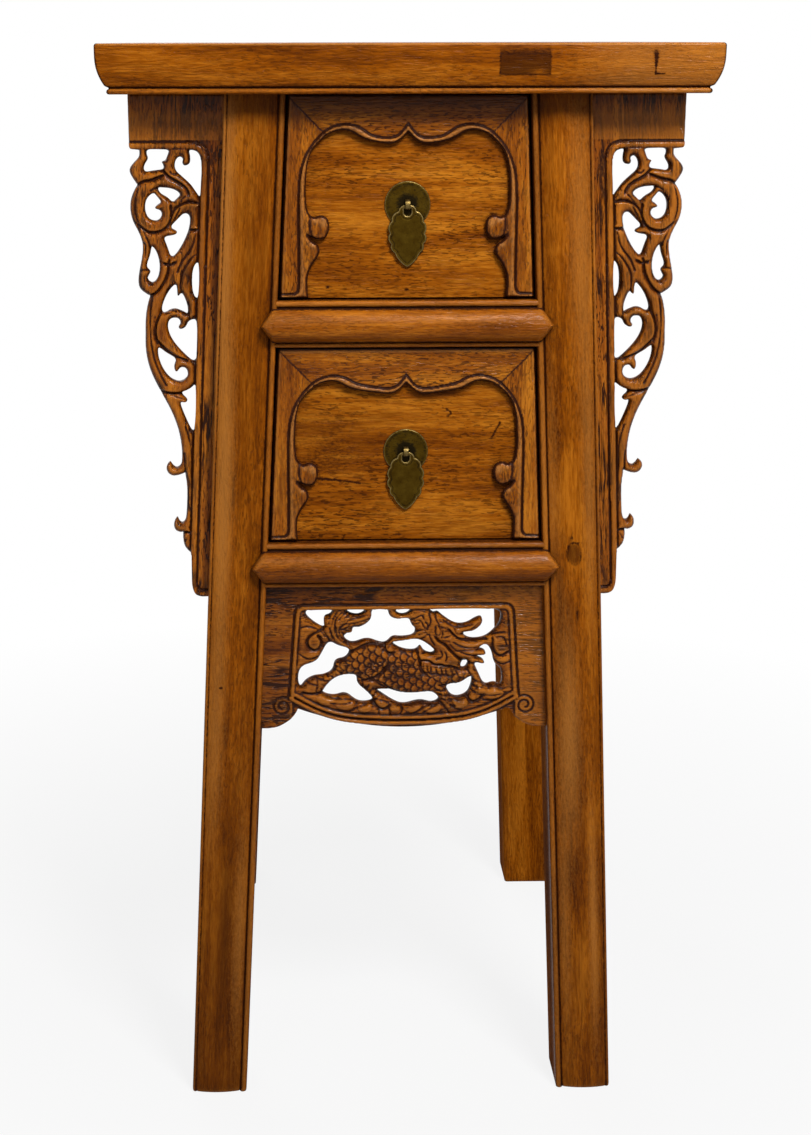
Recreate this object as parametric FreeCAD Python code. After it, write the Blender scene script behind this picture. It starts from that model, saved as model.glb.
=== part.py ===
# Narrow two-drawer east asian coffer stand: splayed legs, framed top, carved spandrels and apron.
# Millimetres, +Z up, front towards -Y, origin on the floor at the middle of the footprint.
import FreeCAD, Part
import math
import os

V = FreeCAD.Vector

# Overall and top
HEIGHT = 860.0
TOP_WIDTH = 460.0
TOP_DEPTH = 424.0
TOP_THICK = 36.0
TOP_MEMBER = 66.0
EDGE_UPRIGHT = 8.0
EDGE_UNDERCUT = 7.5
EDGE_FOOT_BEAD = 4.5
EDGE_BELLY_OUT = 0.75
EDGE_BELLY_UP = 0.45
TOP_PANEL_THICK = 12.0
TOP_PANEL_TONGUE = 6.0
TOP_TONGUE_THICK = 6.0
BRACE_WIDTH = 40.0
BRACE_HEIGHT = 20.0
BRACE_TENON = 10.0
BRACE_SHOULDER = 4.0

# Legs: distance of the outer faces from the middle, under the top and at the floor
LEG_SECTION = 46.0
LEG_SPREAD = 137.5
FOOT_SPREAD = 178.5
LEG_STANCE = 190.0
FOOT_STANCE = 220.0
LEG_CHAMFER = 2.0
LEG_TENON = 24.0
LEG_TENON_LENGTH = 18.0

# Front openings and rails, measured down the sloping front from the underside of the top
UPPER_OPENING = 153.0
LOWER_OPENING = 154.5
RAIL_UPPER_BEAD = 6.0
RAIL_NOSE = 26.0
RAIL_LOWER_BEAD = 4.0
RAIL_DEPTH = 33.0
NOSE_REACH = 9.0
NOSE_CORNER = 3.0
NOSE_POINT = 12.5
RAIL_HOUSING = 3.0
RAIL_TENON_LENGTH = 22.0
RAIL_TENON_THICK = 14.0
RAIL_TENON_SETBACK = 10.0
RAIL_TENON_SHOULDER = 7.0

# Back and side rails, case panels
CASE_RAIL_INSET = 4.0
BACK_RAIL_THICK = 30.0
SIDE_RAIL_THICK = 24.0
CASE_TENON_LENGTH = 14.0
CASE_TENON_THICK = 10.0
CASE_PANEL_INSET = 14.0
CASE_PANEL_THICK = 8.0
CASE_PANEL_TONGUE = 5.0

# Drawers
DRAWER_SIDE_GAP = 1.0
DRAWER_TOP_GAP = 1.5
DRAWER_FOOT_GAP = 1.5
FRONT_INSET = 3.5
ARCH_THICK = 6.0
FRONT_THICK = 14.0
BOX_DROP = 6.5
BOX_SIDE_GAP = 1.5
BOX_BACK_GAP = 8.0
BOX_WALL = 10.0
BOX_HOUSING = 4.0
BOX_GROOVE = 4.0
BOX_BOTTOM_THICK = 6.0
BOX_BOTTOM_RISE = 6.0
RUN_CLEARANCE = 0.3
RUNNER_THICK = 20.0
RUNNER_UNDER = 4.0
RUNNER_HOUSING = 3.0
GUIDE_GAP = 0.6
GUIDE_HEIGHT = 20.0
GUIDE_END_GAP = 0.3

# Arch frame on each drawer front: waved head with a centre cusp, stiles with a curl and a foot
ARCH_MITRE = 29.0
ARCH_CUSP_DROP = 26.5
ARCH_FOOT = 15.0
# Steering points. The wave: in from the drawer's side or out from its middle, and drop from its top.
# The curl and the foot leaf: in from the side, and up from the drawer's foot.
ARCH_WAVE_SIDE = [(34.0, 25.6), (46.0, 24.6), (56.0, 31.5)]
ARCH_WAVE_MIDDLE = [(23.0, 34.2), (12.0, 35.5), (5.0, 32.0)]
ARCH_SHOULDER = [(16.0, 44.0), (21.0, 35.5)]
ARCH_CLEFT = (15.0, 47.0)
ARCH_CURL = [(18.5, 45.0), (27.0, 43.5), (31.5, 50.5), (30.8, 60.0), (24.5, 63.0), (19.0, 60.0),
             (13.5, 66.0), (13.6, 92.0)]
ARCH_LEAF = [(13.5, 14.0), (17.5, 25.0), (24.5, 34.0), (22.5, 41.0), (18.0, 42.5)]

# Pulls
PULL_BELOW_MIDDLE = 5.0
PLATE_RADIUS = 17.5
PLATE_THICK = 1.2
STAPLE_WIDTH = 3.8
STAPLE_OUTER = 4.2
STAPLE_WIRE = 1.0
STAPLE_STANDOFF = 2.2
STAPLE_SHANK = 2.4
STAPLE_CLINCH = 16.0
LEAF_THICK = 1.4
LEAF_TOP = 0.4
LEAF_SLACK = 0.3
# The leaf's edge: notches between its lobes and the swell of each lobe, out from the middle and down
LEAF_NOTCHES = [(7.0, 5.0), (12.2, 12.3), (13.4, 21.5), (12.3, 29.5), (9.6, 36.3)]
LEAF_SWELLS = [(5.0, 1.3), (10.8, 7.3), (14.5, 16.6), (14.6, 25.7), (12.3, 33.5), (6.0, 42.3)]
LEAF_TIP = 47.0
EYE_HALF_WIDTH = 2.8
EYE_FOOT = 8.4

# Carved boards
SPANDREL_THICK = 9.0
SPANDREL_INSET = 12.0
SPANDREL_HOUSING = 4.0
SPANDREL_SETBACK = 20.0
SPANDREL_DRAWN_REACH = 72.5
APRON_THICK = 10.0
APRON_INSET = 8.0
APRON_HOUSING = 4.0
APRON_TONGUE = 5.0
APRON_DEPTH = 120.6
APRON_END_DEPTH = 120.6
APRON_STILE = 28.0
CARVING_DRAWN_HALF = 85.4

# Spandrel outline below its head: distance out from the leg, drop below the top. Each row is one
# stretch between two sharp corners, steered by its points.
SPANDREL_EDGE = [
    [(70.6, 36.0), (70.4, 39.9), (67.0, 40.2), (63.0, 40.8)],
    [(63.0, 40.8), (62.0, 45.0), (67.0, 50.0), (70.3, 54.5), (69.0, 59.5), (63.8, 66.3)],
    [(63.8, 66.3), (67.8, 73.0), (69.2, 83.0), (67.2, 93.0), (60.5, 104.0), (58.2, 113.0), (59.5, 124.0),
     (61.5, 134.0), (61.3, 143.0), (57.0, 147.5), (52.3, 150.0)],
    [(52.3, 150.0), (55.3, 160.0), (55.3, 180.0), (54.6, 194.0), (50.8, 208.0), (43.0, 223.0), (33.5, 239.0),
     (27.5, 254.0), (24.6, 268.0), (24.0, 281.5), (28.0, 285.2), (31.5, 283.6), (33.7, 280.0)],
    [(33.7, 280.0), (36.6, 282.0), (36.0, 288.5), (29.5, 292.3), (21.7, 288.6)],
    [(21.7, 288.6), (19.5, 297.0), (19.3, 318.0), (20.2, 328.5), (25.0, 330.0), (26.8, 324.6)],
    [(26.8, 324.6), (29.3, 327.0), (29.3, 333.5), (25.5, 337.0), (22.0, 336.7)],
    [(22.0, 336.7), (21.8, 346.0), (17.0, 352.5), (14.6, 355.0)],
    [(14.6, 355.0), (14.0, 368.0), (13.4, 382.0), (9.0, 389.5), (0.0, 389.8)],
]

# Spandrel openings, each a closed smooth curve steered by its points
SPANDREL_HOLES = [
    [(16.5, 45.5), (20.0, 41.2), (26.0, 40.5), (24.6, 45.0), (24.4, 51.0), (28.5, 52.8), (30.5, 50.5),
     (29.5, 46.8), (33.0, 45.3), (36.2, 49.0), (36.2, 55.5), (30.0, 60.8), (24.0, 65.8), (19.5, 72.0),
     (16.0, 76.8), (15.6, 66.0), (15.2, 54.0)],
    [(40.3, 40.6), (48.0, 40.2), (57.5, 40.2), (57.8, 44.0), (56.0, 47.0), (59.8, 52.5), (59.0, 57.2),
     (52.5, 55.9), (44.0, 55.2), (44.5, 51.5), (46.3, 49.2), (43.0, 48.7), (41.3, 44.0)],
    [(30.5, 73.6), (35.5, 69.8), (42.5, 68.5), (49.3, 68.4), (46.5, 73.2), (41.0, 75.8), (37.0, 80.0),
     (33.5, 76.5)],
    [(51.5, 71.8), (57.5, 77.0), (58.2, 85.5), (55.0, 92.2), (48.5, 93.8), (44.4, 89.8), (45.5, 85.3),
     (50.8, 84.2), (48.5, 81.2), (45.0, 79.5), (48.5, 75.5)],
    [(23.2, 89.0), (28.0, 87.2), (33.0, 92.5), (39.0, 98.6), (32.8, 101.2), (33.5, 104.0), (43.8, 105.2),
     (40.5, 112.0), (37.2, 122.0), (31.5, 116.5), (26.0, 106.0), (23.2, 97.0)],
    [(16.0, 123.6), (19.8, 128.0), (20.9, 137.0), (19.8, 149.0), (15.9, 153.6), (14.7, 145.0), (14.9, 131.0)],
    [(52.2, 111.0), (53.0, 119.0), (56.4, 128.0), (52.3, 131.3), (53.5, 134.0), (55.3, 137.2), (51.0, 140.8),
     (46.3, 136.5), (45.0, 127.0), (47.5, 117.0)],
    [(32.7, 140.0), (39.5, 148.0), (43.8, 159.5), (42.0, 164.2), (34.5, 159.2), (26.5, 162.3), (22.8, 164.6),
     (23.0, 157.5), (27.8, 146.6), (31.2, 151.6), (31.5, 145.5)],
    [(15.5, 167.3), (22.5, 169.2), (24.0, 174.2), (28.5, 176.2), (30.2, 173.8), (27.8, 171.0), (30.0, 166.8),
     (36.5, 167.0), (39.0, 173.5), (35.5, 183.5), (26.5, 194.0), (15.4, 203.3), (15.0, 186.0)],
    [(45.4, 188.6), (39.0, 194.0), (30.3, 198.6), (33.0, 204.0), (30.8, 210.2), (27.3, 204.5), (22.2, 206.3),
     (21.2, 212.8), (27.5, 217.2), (35.5, 214.3), (42.0, 206.0), (45.6, 196.0)],
    [(15.2, 217.8), (19.5, 222.3), (27.6, 225.3), (21.0, 231.0), (22.5, 233.2), (28.0, 232.3), (23.5, 243.5),
     (16.0, 258.8), (14.6, 247.0), (14.5, 231.0)],
]

# Apron openings round the running beast, clouds and rocks: across from the middle, drop below the rail
APRON_HOLES = [
    [(-79.5, 24.0), (-78.0, 21.0), (-66.0, 20.4), (-57.0, 20.4), (-59.0, 25.8), (-64.4, 27.0), (-64.9, 32.0),
     (-63.8, 37.4), (-71.5, 33.4), (-78.3, 27.5)],
    [(-48.0, 20.8), (-44.0, 20.4), (-33.0, 20.4), (-30.3, 21.0), (-33.5, 25.0), (-38.5, 26.4), (-44.5, 24.8)],
    [(-26.6, 20.2), (-13.2, 20.2), (-12.3, 27.0), (-6.0, 30.2), (4.0, 28.2), (5.8, 34.6), (9.2, 37.0),
     (8.6, 43.8), (-2.0, 45.4), (-9.5, 44.2), (-14.5, 50.4), (-21.0, 49.4), (-30.0, 45.6), (-42.0, 50.6),
     (-49.2, 45.6), (-47.0, 41.0), (-41.6, 40.8), (-41.8, 35.8), (-35.0, 36.4), (-26.0, 30.0)],
    [(-7.4, 22.8), (-4.5, 20.4), (5.8, 20.2), (4.4, 24.2), (-0.5, 26.4), (-5.0, 25.6)],
    [(-10.0, 48.9), (0.0, 47.8), (11.0, 45.9), (19.0, 50.4), (26.0, 56.8), (22.5, 59.6), (16.0, 57.4),
     (13.2, 51.6), (10.0, 56.6), (0.0, 56.0), (-7.5, 52.4)],
    [(19.6, 20.9), (30.0, 20.3), (77.5, 20.2), (78.6, 32.0), (72.0, 40.8), (65.0, 46.2), (54.5, 47.4),
     (48.4, 44.6), (47.6, 40.7), (56.0, 40.6), (63.4, 34.4), (63.0, 28.0), (57.5, 29.6), (50.5, 34.4),
     (41.0, 34.8), (31.0, 27.8), (26.8, 23.6), (23.5, 25.6)],
    [(-61.0, 46.8), (-53.0, 51.8), (-43.0, 54.0), (-46.4, 62.6), (-56.2, 64.0), (-57.4, 73.2), (-65.0, 77.2),
     (-72.4, 77.4), (-80.0, 81.2), (-84.2, 88.0), (-86.2, 80.0), (-84.2, 68.6), (-71.0, 65.0), (-66.8, 58.0)],
    [(-67.0, 90.4), (-58.0, 79.4), (-48.0, 75.6), (-38.0, 75.8), (-38.4, 83.4), (-29.5, 90.6), (-23.6, 98.2),
     (-31.0, 100.4), (-38.5, 99.4), (-47.0, 91.6), (-56.0, 94.8), (-64.0, 93.2)],
    [(-24.2, 88.8), (-12.0, 88.4), (-2.0, 92.0), (12.0, 92.0), (23.5, 90.4), (30.2, 97.6), (23.5, 101.8),
     (13.0, 98.4), (-0.5, 103.0), (-10.0, 98.6), (-16.5, 93.8)],
    [(33.4, 86.4), (39.0, 84.2), (46.0, 84.2), (55.4, 76.8), (55.4, 85.0), (51.5, 94.6), (39.5, 97.0)],
    [(66.8, 50.0), (71.6, 58.0), (73.0, 67.6), (79.6, 71.8), (80.2, 87.2), (73.5, 83.6), (65.6, 87.0),
     (60.5, 75.4), (56.0, 65.8), (66.0, 68.6), (64.6, 64.4), (56.8, 61.2), (66.6, 60.8), (66.0, 56.6),
     (59.2, 55.0)],
    [(46.4, 64.8), (52.8, 65.0), (50.4, 71.6), (45.8, 71.6)],
]
APRON_SCROLL = [
    [(110.0, 120.6), (104.0, 120.2), (97.0, 116.8), (88.5, 110.5), (86.0, 104.3)],
]

UNDERSIDE = HEIGHT - TOP_THICK
LEAN = math.atan2(FOOT_STANCE - LEG_STANCE, UNDERSIDE)
SPLAY = (FOOT_SPREAD - LEG_SPREAD) / UNDERSIDE
RAIL_HEIGHT = RAIL_UPPER_BEAD + RAIL_NOSE + RAIL_LOWER_BEAD
UPPER_RAIL_TOP = UPPER_OPENING
LOWER_OPENING_TOP = UPPER_RAIL_TOP + RAIL_HEIGHT
LOWER_RAIL_TOP = LOWER_OPENING_TOP + LOWER_OPENING
APRON_TOP = LOWER_RAIL_TOP + RAIL_HEIGHT
STAPLE_INNER = STAPLE_OUTER - STAPLE_WIRE
PANEL_FACE = FRONT_INSET + ARCH_THICK
PANEL_BACK = PANEL_FACE + FRONT_THICK


def level(drop):
    """Height of a level that lies a drop below the underside of the top."""
    return UNDERSIDE - drop


def outer_x(z):
    """Distance of a leg's outer side face from the middle plane at a height."""
    return LEG_SPREAD + SPLAY * (UNDERSIDE - z)


def inner_x(z):
    """Distance of a leg's inner side face from the middle plane at a height."""
    return outer_x(z) - LEG_SECTION


def face_y(z):
    """Distance of the legs' front or rear faces from the middle plane at a height."""
    return LEG_STANCE + math.tan(LEAN) * (UNDERSIDE - z)


def inner_y(z):
    """Distance of the legs' faces towards the case from the middle plane at a height."""
    return face_y(z) - LEG_SECTION


def front_y(z, depth):
    """Y of the plane that lies a depth behind the legs' sloping front faces."""
    return -face_y(z) + depth / math.cos(LEAN)


def leg_line(drop):
    """Distance of a leg's outer edge from the middle, a drop down the sloping front."""
    return outer_x(level(drop * math.cos(LEAN)))


def block(x_low, x_high, y_low, y_high, z_low, z_high):
    """Plain rectangular block between two corners."""
    return Part.makeBox(x_high - x_low, y_high - y_low, z_high - z_low, V(x_low, y_low, z_low))


def prism_between(lower, upper):
    """Solid between two polygons with the same count of corners, all of its faces flat."""
    count = len(lower)
    faces = [Part.Face(Part.makePolygon(ring + ring[:1])) for ring in (lower, upper)]
    for i in range(count):
        j = (i + 1) % count
        faces.append(Part.Face(Part.makePolygon([lower[i], lower[j], upper[j], upper[i], lower[i]])))
    solid = Part.makeSolid(Part.makeShell(faces))
    if solid.Volume < 0:
        solid.reverse()
    return solid


def splayed(z_low, z_high, x_limits, y_limits):
    """Block between two heights whose four sides follow sloping limits, functions of the height."""
    rings = []
    for z in (z_low, z_high):
        x_a, x_b = x_limits(z)
        y_a, y_b = y_limits(z)
        rings.append([V(x_a, y_a, z), V(x_b, y_a, z), V(x_b, y_b, z), V(x_a, y_b, z)])
    return prism_between(rings[0], rings[1])


def on_front(shape):
    """Leans a piece drawn upright, depth along Y and drop along -Z, into the sloping front."""
    shape.rotate(V(0, 0, 0), V(1, 0, 0), -math.degrees(LEAN))
    shape.translate(V(0, -LEG_STANCE, UNDERSIDE))
    return shape


def mirrored(shape):
    """The same piece for the other side."""
    return shape.mirror(V(0, 0, 0), V(1, 0, 0))


def smooth_edge(points):
    """Edge from the first point to the last: a line, or a quadratic spline that the others steer."""
    poles = [V(x, 0, -drop) for x, drop in points]
    if len(poles) == 2:
        return Part.makeLine(poles[0], poles[1])
    curve = Part.BSplineCurve()
    curve.buildFromPoles(poles, False, 2)
    return curve.toShape()


def smooth_loop(points):
    """Closed smooth wire steered by its points."""
    curve = Part.BSplineCurve()
    curve.buildFromPoles([V(x, 0, -drop) for x, drop in points], True, 2)
    return Part.Wire(curve.toShape())


def board(stretches, loops, depth, thick):
    """Board with a curved outline and curved openings, its face a depth behind the legs' faces."""
    outline = Part.Wire([smooth_edge(points) for points in stretches])
    wires = [outline] + [smooth_loop(points) for points in loops]
    face = Part.makeFace(wires, "Part::FaceMakerBullseye")
    face.translate(V(0, depth, 0))
    return on_front(face.extrude(V(0, thick, 0)))


def turned(stretches):
    """The stretches of an outline run the other way, on the other side of the middle."""
    return [[(-x, drop) for x, drop in reversed(points)] for points in reversed(stretches)]


def leg():
    """Right front leg: a leaning square post with eased corners and a tenon for the top."""
    c = LEG_CHAMFER
    s = LEG_SECTION
    section = [(c, 0), (s - c, 0), (s, c), (s, s), (0, s), (0, c)]
    rings = []
    for z in (0, UNDERSIDE):
        rings.append([V(inner_x(z) + x, -face_y(z) + y, z) for x, y in section])
    middle = V(LEG_SPREAD - s / 2, -LEG_STANCE + s / 2, UNDERSIDE)
    half = LEG_TENON / 2
    tenon = block(middle.x - half, middle.x + half, middle.y - half, middle.y + half,
                  UNDERSIDE, UNDERSIDE + LEG_TENON_LENGTH)
    return prism_between(rings[0], rings[1]).fuse(tenon).removeSplitter()


def edge_profile(half_span):
    """Section of a top frame member: outward distance and height, with the moulded outer edge."""
    outer = half_span
    under = half_span - EDGE_UNDERCUT
    inner = half_span - TOP_MEMBER
    bead_top = UNDERSIDE + EDGE_FOOT_BEAD
    shoulder = HEIGHT - EDGE_UPRIGHT
    rise = (shoulder - bead_top) * EDGE_BELLY_UP
    belly = V(0, under + EDGE_UNDERCUT * EDGE_BELLY_OUT, bead_top + rise)
    corners = [V(0, under, UNDERSIDE), V(0, inner, UNDERSIDE), V(0, inner, HEIGHT), V(0, outer, HEIGHT),
               V(0, outer, shoulder)]
    edges = [Part.makeLine(a, b) for a, b in zip(corners, corners[1:])]
    edges.append(Part.Arc(corners[-1], belly, V(0, under, bead_top)).toShape())
    edges.append(Part.makeLine(V(0, under, bead_top), corners[0]))
    return Part.Face(Part.Wire(edges))


def top_member(half_span, half_length):
    """Mitred frame member along X on the +Y side of a top."""
    bar = edge_profile(half_span).extrude(V(2 * half_length, 0, 0))
    bar.translate(V(-half_length, 0, 0))
    cut = half_length - TOP_MEMBER
    plan = [V(-half_length, half_span, UNDERSIDE), V(half_length, half_span, UNDERSIDE),
            V(cut, half_span - TOP_MEMBER, UNDERSIDE), V(-cut, half_span - TOP_MEMBER, UNDERSIDE)]
    mitre = Part.Face(Part.makePolygon(plan + plan[:1])).extrude(V(0, 0, TOP_THICK))
    return bar.common(mitre)


def top_pieces():
    """Mitred frame, floating panel in its groove and a brace under the panel."""
    half_w = TOP_WIDTH / 2
    half_d = TOP_DEPTH / 2
    back = top_member(half_d, half_w)
    front = back.copy()
    front.rotate(V(0, 0, 0), V(0, 0, 1), 180)
    left = top_member(half_w, half_d)
    left.rotate(V(0, 0, 0), V(0, 0, 1), 90)
    right = left.copy()
    right.rotate(V(0, 0, 0), V(0, 0, 1), 180)
    open_x = half_w - TOP_MEMBER
    open_y = half_d - TOP_MEMBER
    low = HEIGHT - TOP_PANEL_THICK
    reach_x = open_x + TOP_PANEL_TONGUE
    reach_y = open_y + TOP_PANEL_TONGUE
    panel = block(-open_x, open_x, -open_y, open_y, low, HEIGHT)
    tongue = block(-reach_x, reach_x, -reach_y, reach_y, low, low + TOP_TONGUE_THICK)
    panel = panel.fuse(tongue).removeSplitter()
    half_b = BRACE_WIDTH / 2
    brace = block(-half_b, half_b, -open_y, open_y, low - BRACE_HEIGHT, low)
    end_y = open_y + BRACE_TENON
    tenons = block(-half_b + BRACE_SHOULDER, half_b - BRACE_SHOULDER, -end_y, end_y,
                   low - BRACE_HEIGHT + BRACE_SHOULDER, low - BRACE_SHOULDER)
    brace = brace.fuse(tenons).removeSplitter()
    members = {"top_front_rail": front, "top_back_rail": back, "top_left_rail": left, "top_right_rail": right}
    pieces = {name: shape.cut(panel).cut(brace) for name, shape in members.items()}
    pieces["top_panel"] = panel
    pieces["top_brace"] = brace
    return pieces


def front_rail(top):
    """Rail between the front legs: bar with tenons and a half-round nose pointed over the legs."""
    nose_top = top + RAIL_UPPER_BEAD
    nose_foot = nose_top + RAIL_NOSE
    middle = (nose_top + nose_foot) / 2
    between = leg_line(middle) - LEG_SECTION
    bar_half = between + RAIL_HOUSING
    bar = block(-bar_half, bar_half, 0, RAIL_DEPTH, -top - RAIL_HEIGHT, -top)
    tenon_half = between + RAIL_TENON_LENGTH
    tenon = block(-tenon_half, tenon_half, RAIL_TENON_SETBACK, RAIL_TENON_SETBACK + RAIL_TENON_THICK,
                  -top - RAIL_HEIGHT + RAIL_TENON_SHOULDER, -top - RAIL_TENON_SHOULDER)
    point = between + NOSE_POINT
    corner = between + NOSE_CORNER
    ends = [V(-point, 0, -nose_top), V(-point, 0, -nose_foot)]
    arc = Part.Arc(ends[0], V(-point, -NOSE_REACH, -middle), ends[1]).toShape()
    back_line = Part.makeLine(ends[1], ends[0])
    round_bar = Part.Face(Part.Wire([arc, back_line])).extrude(V(2 * point, 0, 0))
    plan = [V(-point, 0, -middle), V(-corner, 0, -nose_top), V(corner, 0, -nose_top), V(point, 0, -middle),
            V(corner, 0, -nose_foot), V(-corner, 0, -nose_foot)]
    pointed = Part.Face(Part.makePolygon(plan + plan[:1])).extrude(V(0, -NOSE_REACH, 0))
    nose = round_bar.common(pointed)
    return on_front(bar.fuse(tenon).fuse(nose).removeSplitter())


def back_rail(top):
    """Rail between the rear legs, with tenons."""
    z_high = level(top)
    z_low = level(top + RAIL_HEIGHT)
    rear = CASE_RAIL_INSET
    mid = rear + BACK_RAIL_THICK / 2
    half = CASE_TENON_THICK / 2
    bar = splayed(z_low, z_high,
                  lambda z: (-inner_x(z) - RAIL_HOUSING, inner_x(z) + RAIL_HOUSING),
                  lambda z: (face_y(z) - rear - BACK_RAIL_THICK, face_y(z) - rear))
    tenon = splayed(z_low + RAIL_TENON_SHOULDER, z_high - RAIL_TENON_SHOULDER,
                    lambda z: (-inner_x(z) - CASE_TENON_LENGTH, inner_x(z) + CASE_TENON_LENGTH),
                    lambda z: (face_y(z) - mid - half, face_y(z) - mid + half))
    return bar.fuse(tenon).removeSplitter()


def side_rail(top):
    """Rail between the right front and rear legs, with tenons."""
    z_high = level(top)
    z_low = level(top + RAIL_HEIGHT)
    out = CASE_RAIL_INSET
    mid = out + SIDE_RAIL_THICK / 2
    half = CASE_TENON_THICK / 2
    bar = splayed(z_low, z_high,
                  lambda z: (outer_x(z) - out - SIDE_RAIL_THICK, outer_x(z) - out),
                  lambda z: (-inner_y(z) - RAIL_HOUSING, inner_y(z) + RAIL_HOUSING))
    tenon = splayed(z_low + RAIL_TENON_SHOULDER, z_high - RAIL_TENON_SHOULDER,
                    lambda z: (outer_x(z) - mid - half, outer_x(z) - mid + half),
                    lambda z: (-inner_y(z) - CASE_TENON_LENGTH, inner_y(z) + CASE_TENON_LENGTH))
    return bar.fuse(tenon).removeSplitter()


def side_panel(drop_high, drop_low):
    """Thin panel in grooves between the right legs and the side rails."""
    face = CASE_PANEL_INSET
    return splayed(level(drop_low), level(drop_high),
                   lambda z: (outer_x(z) - face - CASE_PANEL_THICK, outer_x(z) - face),
                   lambda z: (-inner_y(z) - CASE_PANEL_TONGUE, inner_y(z) + CASE_PANEL_TONGUE))


def back_panel(drop_high, drop_low):
    """Thin panel in grooves between the rear legs and the back rails."""
    face = CASE_PANEL_INSET
    return splayed(level(drop_low), level(drop_high),
                   lambda z: (-inner_x(z) - CASE_PANEL_TONGUE, inner_x(z) + CASE_PANEL_TONGUE),
                   lambda z: (face_y(z) - face - CASE_PANEL_THICK, face_y(z) - face))


def spandrel():
    """Right openwork spandrel: head under the top, board along the leg, scrolling vine between."""
    reach = TOP_WIDTH / 2 - LEG_SPREAD - SPANDREL_SETBACK
    stretch = reach / SPANDREL_DRAWN_REACH
    edge = [[(leg_line(drop) + out * stretch, drop) for out, drop in points] for points in SPANDREL_EDGE]
    holes = [[(leg_line(drop) + out * stretch, drop) for out, drop in points] for points in SPANDREL_HOLES]
    above = SPANDREL_INSET + SPANDREL_THICK
    head = leg_line(0) + reach
    housed_top = (leg_line(0) - SPANDREL_HOUSING, -above)
    foot = edge[-1][-1]
    housed_foot = (foot[0] - SPANDREL_HOUSING, foot[1])
    outline = [[housed_top, (head, -above)], [(head, -above), edge[0][0]]] + edge
    outline += [[foot, housed_foot], [housed_foot, housed_top]]
    whole = board(outline, holes, SPANDREL_INSET, SPANDREL_THICK)
    over = block(0, TOP_WIDTH, -FOOT_STANCE, 0, UNDERSIDE, HEIGHT)
    return whole.cut(over)


def apron():
    """Openwork apron: board between the legs, arched foot band, carved beast in the opening."""
    middle = APRON_TOP + APRON_DEPTH / 2
    stretch = (leg_line(middle) - LEG_SECTION - APRON_STILE) / CARVING_DRAWN_HALF
    scroll = [[(x * stretch, APRON_TOP + drop) for x, drop in points] for points in APRON_SCROLL]
    holes = [[(x * stretch, APRON_TOP + drop) for x, drop in points] for points in APRON_HOLES]
    top = APRON_TOP - APRON_TONGUE
    end = APRON_TOP + APRON_END_DEPTH
    reach_top = leg_line(top) - LEG_SECTION + APRON_HOUSING
    reach_end = leg_line(end) - LEG_SECTION + APRON_HOUSING
    start = scroll[0][0]
    cusp = scroll[-1][-1]
    right = [[(reach_top, top), (reach_end, end)], [(reach_end, end), start]] + scroll
    band = [[cusp, (cusp[0] / 2, APRON_TOP + APRON_DEPTH), (-cusp[0] / 2, APRON_TOP + APRON_DEPTH),
             (-cusp[0], cusp[1])]]
    left = turned(right)
    outline = right + band + left + [[left[-1][-1], right[0][0]]]
    return board(outline, holes, APRON_INSET, APRON_THICK)


def arch_pieces(top, foot):
    """Head and two stiles of the arch frame on a drawer front, mitred at the upper corners."""
    half = leg_line(top) - LEG_SECTION - DRAWER_SIDE_GAP
    foot_half = leg_line(foot) - LEG_SECTION - DRAWER_SIDE_GAP
    mitre = (half - ARCH_MITRE, top + ARCH_MITRE)
    cusp = (0, top + ARCH_CUSP_DROP)
    wave = [mitre]
    wave += [(half - inset, top + drop) for inset, drop in ARCH_WAVE_SIDE]
    wave += [(out, top + drop) for out, drop in ARCH_WAVE_MIDDLE]
    wave.append(cusp)
    head_right = [[(half, top), mitre], wave]
    head = head_right + turned(head_right) + [[(-half, top), (half, top)]]
    toe = (foot_half - ARCH_FOOT - (foot_half - half), foot)
    cleft = (half - ARCH_CLEFT[0], foot - ARCH_CLEFT[1])
    curl = [cleft] + [(half - inset, foot - rise) for inset, rise in ARCH_CURL]
    curl += [(half - inset, top + drop) for inset, drop in ARCH_SHOULDER] + [mitre]
    foot_leaf = [toe] + [(half - inset, foot - rise) for inset, rise in ARCH_LEAF] + [cleft]
    stile = [[mitre, (half, top)], [(half, top), (foot_half, foot)], [(foot_half, foot), toe],
             foot_leaf, curl]
    right = board(stile, [], FRONT_INSET, ARCH_THICK)
    return {
        "arch_head": board(head, [], FRONT_INSET, ARCH_THICK),
        "arch_right": right,
        "arch_left": mirrored(right),
    }


def pull_centre(top, foot):
    """Middle of the staple's ring on a drawer front: a point across, depth and drop, made upright."""
    drop = (top + foot) / 2 + PULL_BELOW_MIDDLE
    depth = PANEL_FACE - PLATE_THICK - STAPLE_STANDOFF
    return on_front(Part.Vertex(V(0, depth, -drop))).Point


def staple(centre):
    """Flat strip bent to a ring, with a shank through the drawer front and clinched ends inside."""
    half = STAPLE_WIDTH / 2
    end = PANEL_BACK - (PANEL_FACE - PLATE_THICK - STAPLE_STANDOFF)
    ring = Part.makeCylinder(STAPLE_OUTER, STAPLE_WIDTH, V(-half, 0, 0), V(1, 0, 0))
    ring = ring.cut(Part.makeCylinder(STAPLE_INNER, STAPLE_WIDTH, V(-half, 0, 0), V(1, 0, 0)))
    start = (STAPLE_INNER + STAPLE_OUTER) / 2
    shank = block(-half, half, start, end, -STAPLE_SHANK / 2, STAPLE_SHANK / 2)
    clinch = block(-half, half, end, end + STAPLE_WIRE, -STAPLE_CLINCH / 2, STAPLE_CLINCH / 2)
    shape = ring.fuse(shank).fuse(clinch).removeSplitter()
    shape.rotate(V(0, 0, 0), V(1, 0, 0), -math.degrees(LEAN))
    shape.translate(centre)
    return shape


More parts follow.
